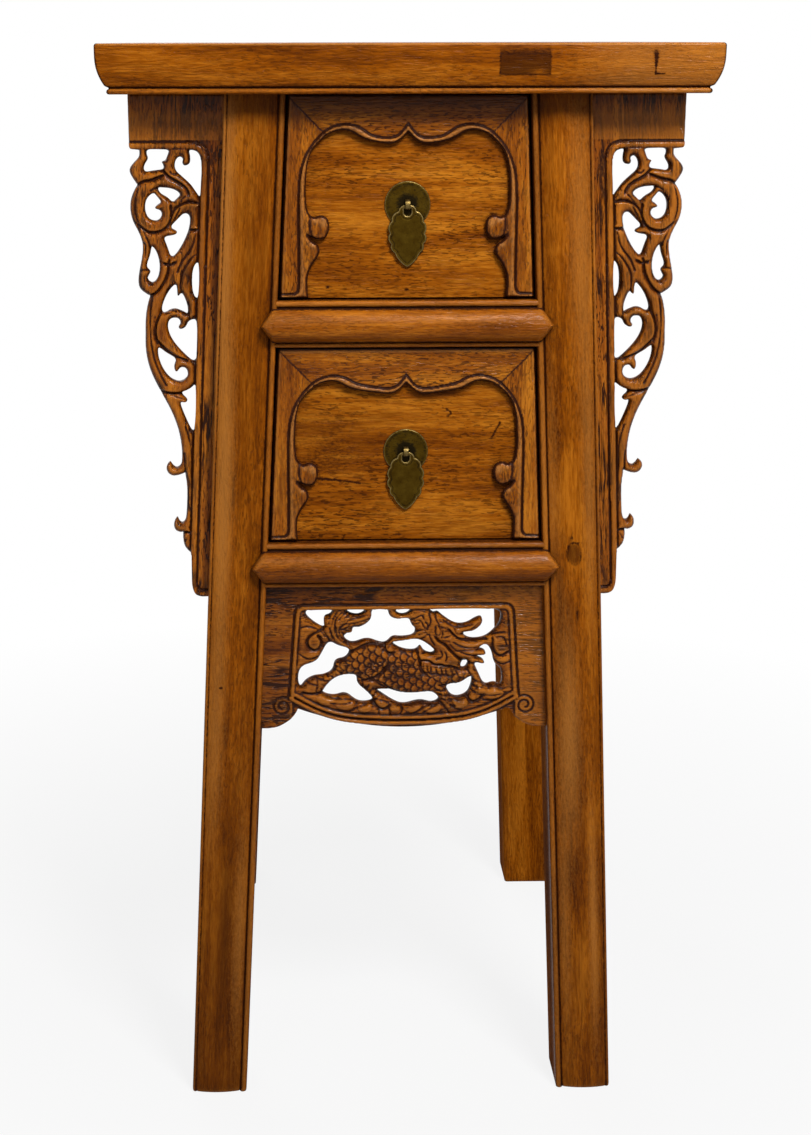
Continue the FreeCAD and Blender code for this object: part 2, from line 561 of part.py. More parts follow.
def staple_way(centre):
    """Room that the ring takes out of the backplate and the drawer front."""
    half = STAPLE_WIDTH / 2
    shape = Part.makeCylinder(STAPLE_OUTER, STAPLE_WIDTH, V(-half, 0, 0), V(1, 0, 0))
    shape.translate(centre)
    return shape


def leaf(centre):
    """Scalloped leaf hanging from the ring: lobed sides, a pointed foot and an eye for the strip."""
    eye_top = STAPLE_INNER - LEAF_SLACK
    notches = [(0, LEAF_TOP)] + LEAF_NOTCHES + [(0, LEAF_TIP)]
    right = []
    for start, swell, end in zip(notches, LEAF_SWELLS, notches[1:]):
        right.append(Part.Arc(*[V(x, 0, -drop) for x, drop in (start, swell, end)]).toShape())
    left = [edge.mirror(V(0, 0, 0), V(1, 0, 0)) for edge in right]
    outline = Part.Wire(Part.__sortEdges__(right + left))
    w = EYE_HALF_WIDTH
    arc_top = EYE_FOOT - w
    eye = [Part.makeLine(V(-w, 0, -arc_top), V(-w, 0, -eye_top)),
           Part.makeLine(V(-w, 0, -eye_top), V(w, 0, -eye_top)),
           Part.makeLine(V(w, 0, -eye_top), V(w, 0, -arc_top)),
           Part.Arc(V(w, 0, -arc_top), V(0, 0, -EYE_FOOT), V(-w, 0, -arc_top)).toShape()]
    face = Part.makeFace([outline, Part.Wire(eye)], "Part::FaceMakerBullseye")
    shape = face.extrude(V(0, LEAF_THICK, 0))
    shape.translate(centre + V(0, -LEAF_THICK / 2, 0))
    return shape


def drawer(name, opening_top, opening):
    """One drawer with its pull, its runners and its guide strips, as named pieces."""
    top = opening_top + DRAWER_TOP_GAP
    foot = opening_top + opening - DRAWER_FOOT_GAP
    half = leg_line(top) - LEG_SECTION - DRAWER_SIDE_GAP
    foot_half = leg_line(foot) - LEG_SECTION - DRAWER_SIDE_GAP
    corners = [(-half, top), (half, top), (foot_half, foot), (-foot_half, foot)]
    sides = [[corners[i], corners[(i + 1) % 4]] for i in range(4)]
    front = board(sides, [], PANEL_FACE, FRONT_THICK)

    z_top = level(top + BOX_DROP)
    z_foot = level(foot)
    box_half = inner_x(z_top) - BOX_SIDE_GAP
    box_back = face_y(z_top) - CASE_PANEL_INSET - CASE_PANEL_THICK - BOX_BACK_GAP
    inside = box_half - BOX_WALL

    wall = splayed(z_foot, z_top, lambda z: (inside, box_half),
                   lambda z: (front_y(z, PANEL_BACK - BOX_HOUSING), box_back))
    back = block(-inside - BOX_HOUSING, inside + BOX_HOUSING, box_back - BOX_WALL - BOX_HOUSING,
                 box_back - BOX_HOUSING, z_foot, z_top)
    z_bottom = z_foot + BOX_BOTTOM_RISE
    bottom_end = box_back - BOX_WALL - BOX_HOUSING + BOX_GROOVE
    bottom = splayed(z_bottom, z_bottom + BOX_BOTTOM_THICK,
                     lambda z: (-inside - BOX_GROOVE, inside + BOX_GROOVE),
                     lambda z: (front_y(z, PANEL_BACK - BOX_GROOVE), bottom_end))
    wall = wall.cut(back).cut(bottom)
    back = back.cut(bottom)
    side_right = wall
    side_left = mirrored(wall)

    centre = pull_centre(top, foot)
    ring = staple(centre)
    way = staple_way(centre)
    drop = (top + foot) / 2 + PULL_BELOW_MIDDLE
    seat = V(0, PANEL_FACE - PLATE_THICK, -drop)
    plate = on_front(Part.makeCylinder(PLATE_RADIUS, PLATE_THICK, seat, V(0, 1, 0)))
    plate = plate.cut(way).cut(ring)
    front = front.cut(side_right).cut(side_left).cut(bottom).cut(way).cut(ring)

    pieces = {
        f"{name}_drawer_front": front,
        f"{name}_drawer_left_side": side_left,
        f"{name}_drawer_right_side": side_right,
        f"{name}_drawer_back": back,
        f"{name}_drawer_bottom": bottom,
        f"{name}_pull_plate": plate,
        f"{name}_pull_staple": ring,
        f"{name}_pull_leaf": leaf(centre),
    }
    for part_name, shape in arch_pieces(top, foot).items():
        pieces[f"{name}_{part_name}"] = shape

    run_top = z_foot - RUN_CLEARANCE
    run_low = run_top - RUNNER_THICK
    run_out = inner_x(run_top) - RUN_CLEARANCE
    rail_mid = level(opening_top + opening + RAIL_HEIGHT / 2)
    run_front = front_y(rail_mid, RAIL_DEPTH) - RUNNER_HOUSING
    run_back = face_y(rail_mid) - CASE_RAIL_INSET - BACK_RAIL_THICK + RUNNER_HOUSING
    runner = block(inside - RUNNER_UNDER, run_out, run_front, run_back, run_low, run_top)
    guide_end = inner_y(run_top + GUIDE_HEIGHT) - GUIDE_END_GAP
    guide = block(box_half + GUIDE_GAP, run_out, -guide_end, guide_end, run_top, run_top + GUIDE_HEIGHT)
    pieces[f"{name}_right_runner"] = runner
    pieces[f"{name}_left_runner"] = mirrored(runner)
    pieces[f"{name}_right_guide"] = guide
    pieces[f"{name}_left_guide"] = mirrored(guide)
    return pieces


def cut_all(shape, tools):
    """A piece with the room for others taken out of it."""
    for tool in tools:
        shape = shape.cut(tool)
    return shape


def case_pieces():
    """Legs, rails, panels and carved boards of the fixed frame, housed into one another."""
    panel_foot = UPPER_RAIL_TOP + CASE_PANEL_TONGUE
    lower_head = LOWER_OPENING_TOP - CASE_PANEL_TONGUE
    lower_foot = LOWER_RAIL_TOP + CASE_PANEL_TONGUE
    pieces = {}
    pieces["front_apron"] = apron()
    pieces["back_upper_panel"] = back_panel(0, panel_foot)
    pieces["back_lower_panel"] = back_panel(lower_head, lower_foot)
    backs = [pieces["back_upper_panel"], pieces["back_lower_panel"]]
    pieces["front_upper_rail"] = front_rail(UPPER_RAIL_TOP)
    pieces["front_lower_rail"] = front_rail(LOWER_RAIL_TOP).cut(pieces["front_apron"])
    pieces["back_upper_rail"] = cut_all(back_rail(UPPER_RAIL_TOP), backs)
    pieces["back_lower_rail"] = cut_all(back_rail(LOWER_RAIL_TOP), backs)
    upper_panel = side_panel(0, panel_foot)
    lower_panel = side_panel(lower_head, lower_foot)
    upper_rail = cut_all(side_rail(UPPER_RAIL_TOP), [upper_panel, lower_panel])
    lower_rail = cut_all(side_rail(LOWER_RAIL_TOP), [upper_panel, lower_panel])
    right = {"upper_side_panel": upper_panel, "lower_side_panel": lower_panel,
             "upper_side_rail": upper_rail, "lower_side_rail": lower_rail, "spandrel": spandrel()}
    for name, shape in right.items():
        pieces[f"right_{name}"] = shape
        pieces[f"left_{name}"] = mirrored(shape)
    post = leg()
    rear_post = post.mirror(V(0, 0, 0), V(0, 1, 0))
    sides = [right["upper_side_panel"], right["lower_side_panel"], right["upper_side_rail"],
             right["lower_side_rail"]]
    fronts = [pieces["front_upper_rail"], pieces["front_lower_rail"], pieces["front_apron"],
              right["spandrel"]]
    rears = backs + [pieces["back_upper_rail"], pieces["back_lower_rail"]]
    right_legs = {"front": cut_all(post, sides + fronts), "rear": cut_all(rear_post, sides + rears)}
    for name, shape in right_legs.items():
        pieces[f"{name}_right_leg"] = shape
        pieces[f"{name}_left_leg"] = mirrored(shape)
    return pieces


def whole_stand():
    """Every piece of the stand by name."""
    pieces = top_pieces()
    case = case_pieces()
    posts = [shape for name, shape in case.items() if name.endswith("_leg")]
    for name in ("top_front_rail", "top_back_rail"):
        pieces[name] = cut_all(pieces[name], posts)
    drawers = drawer("upper", 0.0, UPPER_OPENING)
    drawers.update(drawer("lower", LOWER_OPENING_TOP, LOWER_OPENING))
    runners = [shape for name, shape in drawers.items() if name.endswith("_runner")]
    for name in ("front_upper_rail", "front_lower_rail", "back_upper_rail", "back_lower_rail"):
        case[name] = cut_all(case[name], runners)
    pieces.update(case)
    pieces.update(drawers)
    return pieces


os.makedirs("parts", exist_ok=True)
for node, solid in whole_stand().items():
    print(node, len(solid.Solids), solid.isValid(), round(solid.Volume))
    solid.exportStep(f"parts/{node}.step")
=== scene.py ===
"""Looks of a narrow two-drawer coffer stand: oiled hardwood, carved openwork and aged brass pulls.

Sizes are in millimetres in the part's own frame, +Z up and the front towards -Y; meshes are written in
metres. A point of the sloping front is given by across (X), depth behind the legs' front faces, and drop,
the distance down the slope from the underside of the top.
"""

import logging
import math
import zlib
from collections.abc import Callable, Sequence
from dataclasses import dataclass, replace
from enum import Enum

import bpy
import numpy as np
from mathutils import Matrix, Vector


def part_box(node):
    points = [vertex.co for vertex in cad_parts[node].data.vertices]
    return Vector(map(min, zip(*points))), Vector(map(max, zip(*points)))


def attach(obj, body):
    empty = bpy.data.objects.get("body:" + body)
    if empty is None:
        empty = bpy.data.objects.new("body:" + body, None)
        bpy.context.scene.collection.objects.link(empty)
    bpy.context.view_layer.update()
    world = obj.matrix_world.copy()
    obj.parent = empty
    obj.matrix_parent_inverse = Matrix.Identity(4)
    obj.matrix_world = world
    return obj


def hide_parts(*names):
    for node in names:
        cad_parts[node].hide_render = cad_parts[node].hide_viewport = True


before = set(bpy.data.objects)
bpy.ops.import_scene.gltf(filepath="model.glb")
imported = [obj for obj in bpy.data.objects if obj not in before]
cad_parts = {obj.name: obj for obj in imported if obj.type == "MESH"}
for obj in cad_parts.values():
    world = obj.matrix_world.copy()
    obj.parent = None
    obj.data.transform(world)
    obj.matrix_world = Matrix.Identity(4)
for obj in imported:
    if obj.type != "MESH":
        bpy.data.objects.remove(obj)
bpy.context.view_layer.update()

LOG = logging.getLogger("coffer_stand")
MM = 0.001
Array = np.ndarray
Values = Array | float
Triple = tuple[float, float, float]
Points = list[tuple[float, float]]
Placing = Callable[[Array, Array, Array], Array]
Mark = tuple[float, float, float, float, float]
Socket = bpy.types.NodeSocket
Sockets = dict[str, Socket]

# Shares of each point: darkening from grimy wood and painted shade, lightening from smoothed wood and painted
# highlights, dullness, and a darker tone from stains and painted shadows.
POINT_SHARES = ("dirt", "wear", "matt", "stain")
LEVELS = ("upper", "lower")
SIDES = ("left", "right")
GRID_MARGIN = 2.0
CARVED_SHARP = 55.0
EDGE_CLEAN = 0.85


class Body(Enum):
    """Bodies that pieces ride on."""
    FRAME = "frame"
    UPPER_DRAWER = "upper_drawer"
    LOWER_DRAWER = "lower_drawer"
    UPPER_PULL = "upper_pull"
    LOWER_PULL = "lower_pull"


class Slot(Enum):
    """Finish slots of the record."""
    FRAME_WOOD = "frame_wood"
    PANEL_WOOD = "panel_wood"
    CARVED_WOOD = "carved_wood"
    INNER_WOOD = "inner_wood"
    AGED_BRASS = "aged_brass"


class Side(Enum):
    """Left or right half of the stand, as the sign of X."""
    LEFT = -1
    RIGHT = 1


class Along(Enum):
    """Direction of a board's grain, as the order of its axes: along, across and through the grain."""
    WIDTH = (0, 2, 1)
    DEPTH = (1, 0, 2)
    HEIGHT = (2, 0, 1)


@dataclass(frozen=True)
class SlopingFront:
    """The plane of the legs' front faces and the splay of the legs."""
    underside: float = 824.0
    leg_section: float = 46.0
    leg_spread: float = 137.5
    foot_spread: float = 178.5
    leg_stance: float = 190.0
    foot_stance: float = 220.0

    @property
    def lean(self) -> float:
        """Angle of the front from upright."""
        return math.atan2(self.foot_stance - self.leg_stance, self.underside)

    def outer(self, z: Array) -> Array:
        """Distance of the legs' outer faces from the middle at a height."""
        return self.leg_spread + (self.foot_spread - self.leg_spread) * (1 - z / self.underside)

    def stance(self, z: Array) -> Array:
        """Distance of the legs' front or rear faces from the middle at a height."""
        return self.leg_stance + (self.foot_stance - self.leg_stance) * (1 - z / self.underside)

    def leg_line(self, drop: Array) -> Array:
        """Distance of the legs' outer edges from the middle at a drop."""
        return self.outer(self.underside - drop * math.cos(self.lean))

    def inner_line(self, drop: Array) -> Array:
        """Distance of the legs' inner edges from the middle at a drop."""
        return self.leg_line(drop) - self.leg_section

    def place(self, across: Array, depth: Array, drop: Array) -> Array:
        """Points of the part's frame from across, depth and drop.

        Args:
            across: X of each point.
            depth: distance behind the legs' front faces.
            drop: distance down the slope from the underside of the top.

        Returns:
            An array with a row of X, Y and Z for each point.
        """
        c = math.cos(self.lean)
        s = math.sin(self.lean)
        y = -self.leg_stance - drop * s + depth * c
        z = self.underside - drop * c - depth * s
        return np.stack(np.broadcast_arrays(across, y, z), -1)

    def mirror(self, across: Array, depth: Array, drop: Array) -> Array:
        """Points of the part's frame, mirrored to the other half."""
        return self.place(-across, depth, drop)

    def drawn(self, points: Array) -> Array:
        """Across, depth and drop of points of the part's frame.

        Args:
            points: a row of X, Y and Z for each point.

        Returns:
            A row of across, depth and drop for each point.
        """
        c = math.cos(self.lean)
        s = math.sin(self.lean)
        y = points[:, 1] + self.leg_stance
        z = points[:, 2] - self.underside
        return np.stack([points[:, 0], y * c - z * s, -y * s - z * c], -1)


FRONT = SlopingFront()
FACE_SLACK = 0.02


@dataclass
class Piece:
    """A closed mesh, with the place in the grain of each point, its darkening (grimy wood and painted shade),
    lightening (smoothed wood and painted highlight), dullness and darker tone (stains and painted shadow).
    """
    name: str
    points: Array
    faces: list[Array]
    grain: Array
    dirt: Values
    wear: Values
    matt: Values = 0.0
    stain: Values = 0.0

    @classmethod
    def through(cls, name: str, rings: Array, grain: Array, dirt: Values, wear: Values, matt: Values = 0.0,
                stain: Values = 0.0, closed: bool = False) -> "Piece":
        """Skin through a row of rings: quads between neighbours, and a face over each end of an open row.

        Args:
            name: name of the piece.
            rings: array of stations by profile points by three coordinates.
            grain: place in the grain of each point, in the same order.
            dirt: darkening of each point, from grimy wood and from painted shade, or values that spread over
                the rings, as in the next three.
            wear: lightening of each point, from smoothed wood and from painted highlight.
            matt: dullness of each point.
            stain: darker tone of each point, from stains and from painted shadow.
            closed: whether the last ring joins the first, as in a bent ring.

        Returns:
            The piece, its faces turned outwards.
        """
        index = np.arange(rings[..., 0].size).reshape(rings.shape[:2])
        ahead = np.roll(index, -1, 0)
        walls = np.stack([index, np.roll(index, -1, 1), np.roll(ahead, -1, 1), ahead], -1)
        faces = [walls.reshape(-1, 4)]
        if not closed:
            faces = [walls[:-1].reshape(-1, 4), index[:1, ::-1], index[-1:]]
        points = rings.reshape(-1, 3)
        spread = [np.broadcast_to(values, index.shape).ravel() for values in (dirt, wear, matt, stain)]
        return cls(name, points, outward(points, faces), grain.reshape(-1, 3), *spread)

    def build(self, finish: "Finish", body: Body, slot: Slot, replaces: tuple[str, ...] = (),
              sharp: float = 40.0) -> bpy.types.Object:
        """Writes the mesh and hands it to the body that carries it.

        Args:
            finish: finish whose material the piece wears.
            body: body that the piece rides on.
            slot: finish slot of the record; not used.
            replaces: nodes of the frame that the piece stands for.
            sharp: angle in degrees above which an edge is shaded as sharp.

        Returns:
            The finished object.
        """
        mesh = bpy.data.meshes.new(self.name)
        corners = np.concatenate([part.ravel() for part in self.faces])
        counts = np.concatenate([np.full(len(part), part.shape[1]) for part in self.faces])
        starts = np.cumsum(counts) - counts
        mesh.vertices.add(len(self.points))
        mesh.vertices.foreach_set("co", (self.points * MM).astype(np.float32).ravel())
        mesh.loops.add(len(corners))
        mesh.loops.foreach_set("vertex_index", corners.astype(np.int32))
        mesh.polygons.add(len(counts))
        mesh.polygons.foreach_set("loop_start", starts.astype(np.int32))
        mesh.polygons.foreach_set("use_smooth", np.ones(len(counts), bool))
        mesh.update(calc_edges=True)
        mesh.validate()
        mesh.set_sharp_from_angle(angle=math.radians(sharp))
        start = zlib.crc32(self.name.encode()) % 1000
        grain = self.grain + np.array([3.1, 7.7, 1.3]) * start
        mesh.attributes.new("grain", "FLOAT_VECTOR", "POINT").data.foreach_set(
            "vector", grain.astype(np.float32).ravel())
        for name in POINT_SHARES:
            spread = np.broadcast_to(getattr(self, name), len(self.points)).clip(0, 1).astype(np.float32)
            mesh.attributes.new(name, "FLOAT", "POINT").data.foreach_set("value", spread)
        mesh.materials.append(finish.material())
        made = bpy.data.objects.new(self.name, mesh)
        bpy.context.scene.collection.objects.link(made)
        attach(made, body.value)
        if replaces:
            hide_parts(*replaces)
        LOG.info("%s: %d faces on %s", self.name, len(counts), body.value)
        return made


def outward(points: Array, faces: list[Array]) -> list[Array]:
    """Turns a closed skin's faces outwards: its volume, summed over corner triangles, has to be positive.

    Args:
        points: points of the skin.
        faces: arrays of faces, one for each count of corners.

    Returns:
        The faces, all turned round if the volume was negative.
    """
    volume = 0.0
    for part in faces:
        for k in range(1, part.shape[1] - 1):
            a, b, c = points[part[:, 0]], points[part[:, k]], points[part[:, k + 1]]
            volume += float(np.einsum("ij,ij->", a, np.cross(b, c)))
    return faces if volume > 0 else [part[:, ::-1] for part in faces]


def grain_place(points: Array, along: Along) -> Array:
    """Place in the grain of each point: its coordinates in the order along, across, through."""
    return points[:, list(along.value)]


def joined(name: str, parts: list[Piece]) -> Piece:
    """Several closed skins as one piece.

    Args:
        name: name of the piece.
        parts: the skins, with an array for each of their values.

    Returns:
        The piece.
    """
    shifts = np.cumsum([0] + [len(part.points) for part in parts])
    faces = [side + shift for part, shift in zip(parts, shifts) for side in part.faces]
    points, *rest = (np.concatenate([getattr(part, key) for part in parts])
                     for key in ("points", "grain", *POINT_SHARES))
    return Piece(name, points, faces, *rest)


def profile(*stretches: tuple[Values | list[float], ...]) -> list[Array]:
    """Rows of a section from its stretches.

    Args:
        stretches: the same quantities for each stretch, where one number holds all along it.

    Returns:
        Each quantity along the whole section.
    """
    spread = [np.broadcast_arrays(*(np.asarray(part, float) for part in stretch)) for stretch in stretches]
    return [np.concatenate(row) for row in zip(*spread)]


def rounded(share: Array) -> Array:
    """Quarter round: 0 at a share of 0, rising like a circle to 1 at a share of 1 and beyond."""
    return np.sqrt(1 - (1 - share.clip(0, 1)) ** 2)


def fading(distance: Array, reach: float) -> Array:
    """Bell curve: 1 at a distance of 0, and near 0 at twice the reach."""
    return np.exp(-(distance / reach) ** 2)


def blots(x: Array, y: Array, marks: tuple[Mark, ...]) -> Array:
    """Sum of oval bell curves.

    Args:
        x: first coordinate of each point.
        y: second coordinate of each point.
        marks: place, half width, half height and strength of each curve.

    Returns:
        The sum at each point.
    """
    total = np.zeros(np.broadcast(x, y).shape)
    for across, up, wide, high, strength in marks:
        total += strength * np.exp(-((x - across) / wide) ** 2 - ((y - up) / high) ** 2)
    return total


def steered(points: Points, closed: bool = False, steps: int = 12) -> Array:
    """Quadratic spline steered by points: arcs between middles of neighbours, bent by the point between.

    Args:
        points: steering points; an open curve starts and ends on the outer ones.
        closed: whether the curve runs round.
        steps: points on each arc.

    Returns:
        An array of points along the curve; a closed one ends where it starts.
    """
    p = np.asarray(points, float)
    if len(p) == 2:
        return p[0] + np.linspace(0, 1, steps)[:, None] * (p[1] - p[0])
    if closed:
        start, bend, end = (p + np.roll(p, 1, 0)) / 2, p, (p + np.roll(p, -1, 0)) / 2
    else:
        middles = (p[1:-2] + p[2:-1]) / 2
        start, bend, end = np.vstack([p[:1], middles]), p[1:-1], np.vstack([middles, p[-1:]])
    t = np.linspace(0, 1, steps, endpoint=False)[None, :, None]
    curve = start[:, None] * (1 - t) ** 2 + 2 * bend[:, None] * t * (1 - t) + end[:, None] * t ** 2
    return np.vstack([curve.reshape(-1, 2), end[-1:]])


def mirrored(points: Points) -> Points:
    """Half a curve, from its left end to the middle, carried on to the right as its mirror image."""
    return points + [(-x, y) for x, y in points[-2::-1]]


def sides_of(*lines: Array) -> Array:
    """Start and end of each side of some curves."""
    return np.concatenate([np.stack([line[:-1], line[1:]], 1) for line in lines])


def curves(lists: Sequence[Points], closed: bool = False) -> Array:
    """Start and end of each side of the splines that lists of points steer."""
    return sides_of(*(steered(points, closed) for points in lists))


def flat_edge(node: str, drawn: Callable[[Array], Array], depth: float) -> Array:
    """Edge of a flat face of a frame's node: the sides that only one triangle of that face has.

    Args:
        node: name of the node.
        drawn: takes points of the part's frame to across, depth and drop.
        depth: depth of the face.

    Returns:
        Start and end of each side, as across and drop.
    """
    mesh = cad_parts[node].data
    points = np.empty(len(mesh.vertices) * 3, np.float32)
    mesh.vertices.foreach_get("co", points)
    mesh.calc_loop_triangles()
    corners = np.empty(len(mesh.loop_triangles) * 3, np.int32)
    mesh.loop_triangles.foreach_get("vertices", corners)
    places = drawn(points.reshape(-1, 3).astype(float) / MM)
    corners = corners.reshape(-1, 3)
    corners = corners[(np.abs(places[:, 1] - depth) < FACE_SLACK)[corners].all(1)]
    flat = places[:, [0, 2]]
    _, first, same = np.unique(np.rint(flat / FACE_SLACK).astype(int), axis=0, return_index=True,
                               return_inverse=True)
    corners = same.ravel()[corners]
    pairs = np.sort(np.concatenate([corners[:, [k, (k + 1) % 3]] for k in range(3)]), 1)
    pairs, count = np.unique(pairs, axis=0, return_counts=True)
    return flat[first][pairs[count == 1]]


def face_edge(node: str, depth: float) -> Array:
    """Edge of a node's face that is parallel to the sloping front, at a depth behind the legs' faces."""
    return flat_edge(node, FRONT.drawn, depth)


def upright_edge(node: str, y: float) -> Array:
    """Edge of a node's upright face that looks to the front, as X and Z."""
    return flat_edge(node, np.asarray, y)


class Relief:
    """A carved board drawn flat on a grid of nodes, across by drop, from which outlines cut its shape."""
    OVER_CUT = (3.0, 1.1, 5.0)
    INCISED_DEEP = 1.9
    FINE_HOLLOW = 1.2
    BROAD_HOLLOW = 4.0
    CLEAN_REACH = 1.6
    BACK_DIRT = 0.35

    def __init__(self, low: Array, high: Array, pitch: float) -> None:
        """Lays the grid.

        Args:
            low: least across and drop of the grid.
            high: greatest across and drop of the grid.
            pitch: distance between nodes.
        """
        self.low = low
        self.pitch = pitch
        self.columns, self.rows = (np.ceil((high - low) / pitch).astype(int) + 1).tolist()
        self.across, self.drop = np.meshgrid(low[0] + np.arange(self.columns) * pitch,
                                             low[1] + np.arange(self.rows) * pitch)

    @classmethod
    def about(cls, edge: Array, margin: float, pitch: float, reach: float) -> tuple["Relief", Array, Array]:
        """Lays a grid about a closed edge.

        Args:
            edge: start and end of each side of the edge.
            margin: width of the grid outside the edge.
            pitch: distance between nodes.
            reach: greatest distance from the edge that matters.

        Returns:
            The grid, the distance of each node from the edge, and the same below 0 inside the edge.
        """
        grid = cls(edge.min((0, 1)) - margin, edge.max((0, 1)) + margin, pitch)
        distance = grid.distance(edge, reach)
        return grid, distance, np.where(grid.inside(edge), -distance, distance)

    def inside(self, sides: Array) -> Array:
        """Nodes inside closed curves: crossings along each row are counted up to the node, and odd is inside.

        Args:
            sides: start and end of each side of the curves.

        Returns:
            A mask of nodes.
        """
        start, end = sides[:, 0], sides[:, 1]
        rows = self.low[1] + np.arange(self.rows)[:, None] * self.pitch
        row, segment = np.nonzero((start[:, 1] > rows) != (end[:, 1] > rows))
        a, b = start[segment], end[segment]
        x = a[:, 0] + (rows[row, 0] - a[:, 1]) / (b[:, 1] - a[:, 1]) * (b[:, 0] - a[:, 0])
        column = np.ceil((x - self.low[0]) / self.pitch).astype(int).clip(0, self.columns)
        flips = np.zeros((self.rows, self.columns + 1), int)
        np.add.at(flips, (row, column), 1)
        return np.cumsum(flips, 1)[:, :-1] % 2 == 1

    def near(self, sides: Array, reach: float) -> tuple[Array, Array]:
        """Distance of each node from the nearest line, and on which hand of that line it lies.

        Each short stretch of the lines measures the nodes in a window about it, and the least distance holds.

        Args:
            sides: start and end of each side of the lines.
            reach: greatest distance that matters.

        Returns:
            The distances, at most the reach, and 1 on the right hand of the line, -1 on its left.
        """
        start, end = sides[:, 0], sides[:, 1]
        length = np.hypot(*(end - start).T)
        repeat = np.ceil(length / (3 * self.pitch)).astype(int).clip(1)
        which = np.repeat(np.arange(len(start)), repeat)
        share = (np.arange(len(which)) - np.repeat(np.cumsum(repeat) - repeat, repeat)) / repeat[which]
        step = (end - start)[which] / repeat[which][:, None]
        start = start[which] + step * (share * repeat[which])[:, None]
        size = int(math.ceil((reach + 1.5 * self.pitch) / self.pitch)) + 1
        window = np.arange(-size, size + 1)
        best = np.full(self.rows * self.columns, float(reach))
        hand = np.zeros(self.rows * self.columns)
        for chunk in np.array_split(np.arange(len(start)), len(start) // 400 + 1):
            a, d = start[chunk], step[chunk]
            centre = np.rint((a + d / 2 - self.low) / self.pitch).astype(int)
            column = centre[:, 0, None, None] + window[None, None, :]
            row = centre[:, 1, None, None] + window[None, :, None]
            column, row = np.broadcast_arrays(column, row)
            x = self.low[0] + column * self.pitch - a[:, 0, None, None]
            y = self.low[1] + row * self.pitch - a[:, 1, None, None]
            dx, dy = d[:, 0, None, None], d[:, 1, None, None]
            t = ((x * dx + y * dy) / np.maximum(dx * dx + dy * dy, 1e-9)).clip(0, 1)
            distance = np.hypot(x - t * dx, y - t * dy)
            held = (column >= 0) & (column < self.columns) & (row >= 0) & (row < self.rows)
            held &= distance < reach
            node = (row * self.columns + column)[held]
            distance = distance[held]
            np.minimum.at(best, node, distance)
            nearest = distance <= best[node]
            hand[node[nearest]] = np.sign(dx * y - dy * x)[held][nearest]
        return best.reshape(self.rows, self.columns), hand.reshape(self.rows, self.columns)

    def distance(self, sides: Array, reach: float) -> Array:
        """Distance of each node from the nearest line, at most the reach."""
        return self.near(sides, reach)[0]

    def creases(self, lines: list[Points], deep: float, over: float, under: float) -> Array:
        """Depth of cuts along lines: steep on the left hand, where one strand lies on top, long on the right.

        Args:
            lines: steering points of each cut.
            deep: depth at the line.
            over: reach of the cut on its left hand.
            under: reach of the cut on its right hand.

        Returns:
            The depth at each node, falling with the square of the distance left.
        """
        distance, hand = self.near(curves(lines), max(over, under))
        return deep * (1 - distance / np.where(hand > 0, under, over)).clip(0) ** 2

    def cuts(self, over: list[Points], incised: list[Points], reach: float) -> Array:
        """Depth of creases between strands and of lines incised with a reach, whichever is deeper."""
        return np.maximum(self.creases(over, *self.OVER_CUT),
                          self.creases(incised, self.INCISED_DEEP, reach, reach))

    def blurred(self, values: Array, mask: Array, radius: float) -> Array:
        """Mean of masked values about each node: three passes of a moving mean both ways, values over mask.

        Args:
            values: value at each node.
            mask: nodes that count.
            radius: half the width of the moving mean.

        Returns:
            The mean at each node.
        """
        half = max(1, int(round(radius / self.pitch)))

        def mean(grid: Array, axis: int) -> Array:
            """Moving mean along one axis, the edges held.

            Args:
                grid: value at each node.
                axis: axis to move along.

            Returns:
                The mean at each node.
            """
            wide = [(0, 0), (0, 0)]
            wide[axis] = (half + 1, half)
            total = np.cumsum(np.pad(grid, wide, mode="edge"), axis)
            count = grid.shape[axis]
            upper = np.take(total, np.arange(2 * half + 1, 2 * half + 1 + count), axis)
            return (upper - np.take(total, np.arange(count), axis)) / (2 * half + 1)

        top, foot = values * mask, mask.astype(float)
        for _ in range(3):
            for axis in (0, 1):
                top, foot = mean(top, axis), mean(foot, axis)
        return top / np.maximum(foot, 1e-6)

    def cut_out(self, signed: Array) -> tuple[Array, Array, Array]:
        """Flat mesh of the nodes with a negative value, its edge drawn along the line of value 0.

        Each cell of the grid that touches the shape has one point, in its middle, or on the mean of the
        places where its sides cross the edge. Each node inside joins the points of its four cells to a face.

        Args:
            signed: value at each node, negative inside the shape.

        Returns:
            Column and row of each point as real numbers, and the faces, anticlockwise seen from the front.
        """
        row, column = np.mgrid[0:self.rows - 1, 0:self.columns - 1].astype(float)
        corner = {(i, j): signed[i:self.rows - 1 + i, j:self.columns - 1 + j] for i in (0, 1) for j in (0, 1)}
        count = np.zeros_like(row)
        sums = [np.zeros_like(row), np.zeros_like(row)]
        for one, two in (((0, 0), (0, 1)), ((1, 0), (1, 1)), ((0, 0), (1, 0)), ((0, 1), (1, 1))):
            a, b = corner[one], corner[two]
            crosses = (a < 0) != (b < 0)
            t = np.where(crosses, a / np.where(crosses, a - b, 1), 0)
            count += crosses
            for k in (0, 1):
                sums[k] += crosses * (one[k] + t * (two[k] - one[k]))
        shift = [np.where(count > 0, total / np.maximum(count, 1), 0.5) for total in sums]
        used = np.zeros(row.shape, bool)
        for values in corner.values():
            used |= values < 0
        index = np.cumsum(used.ravel()).reshape(used.shape) - 1
        i, j = np.nonzero(signed[1:-1, 1:-1] < 0)
        faces = np.stack([index[i, j], index[i + 1, j], index[i + 1, j + 1], index[i, j + 1]], -1)
        return (column + shift[1])[used], (row + shift[0])[used], faces

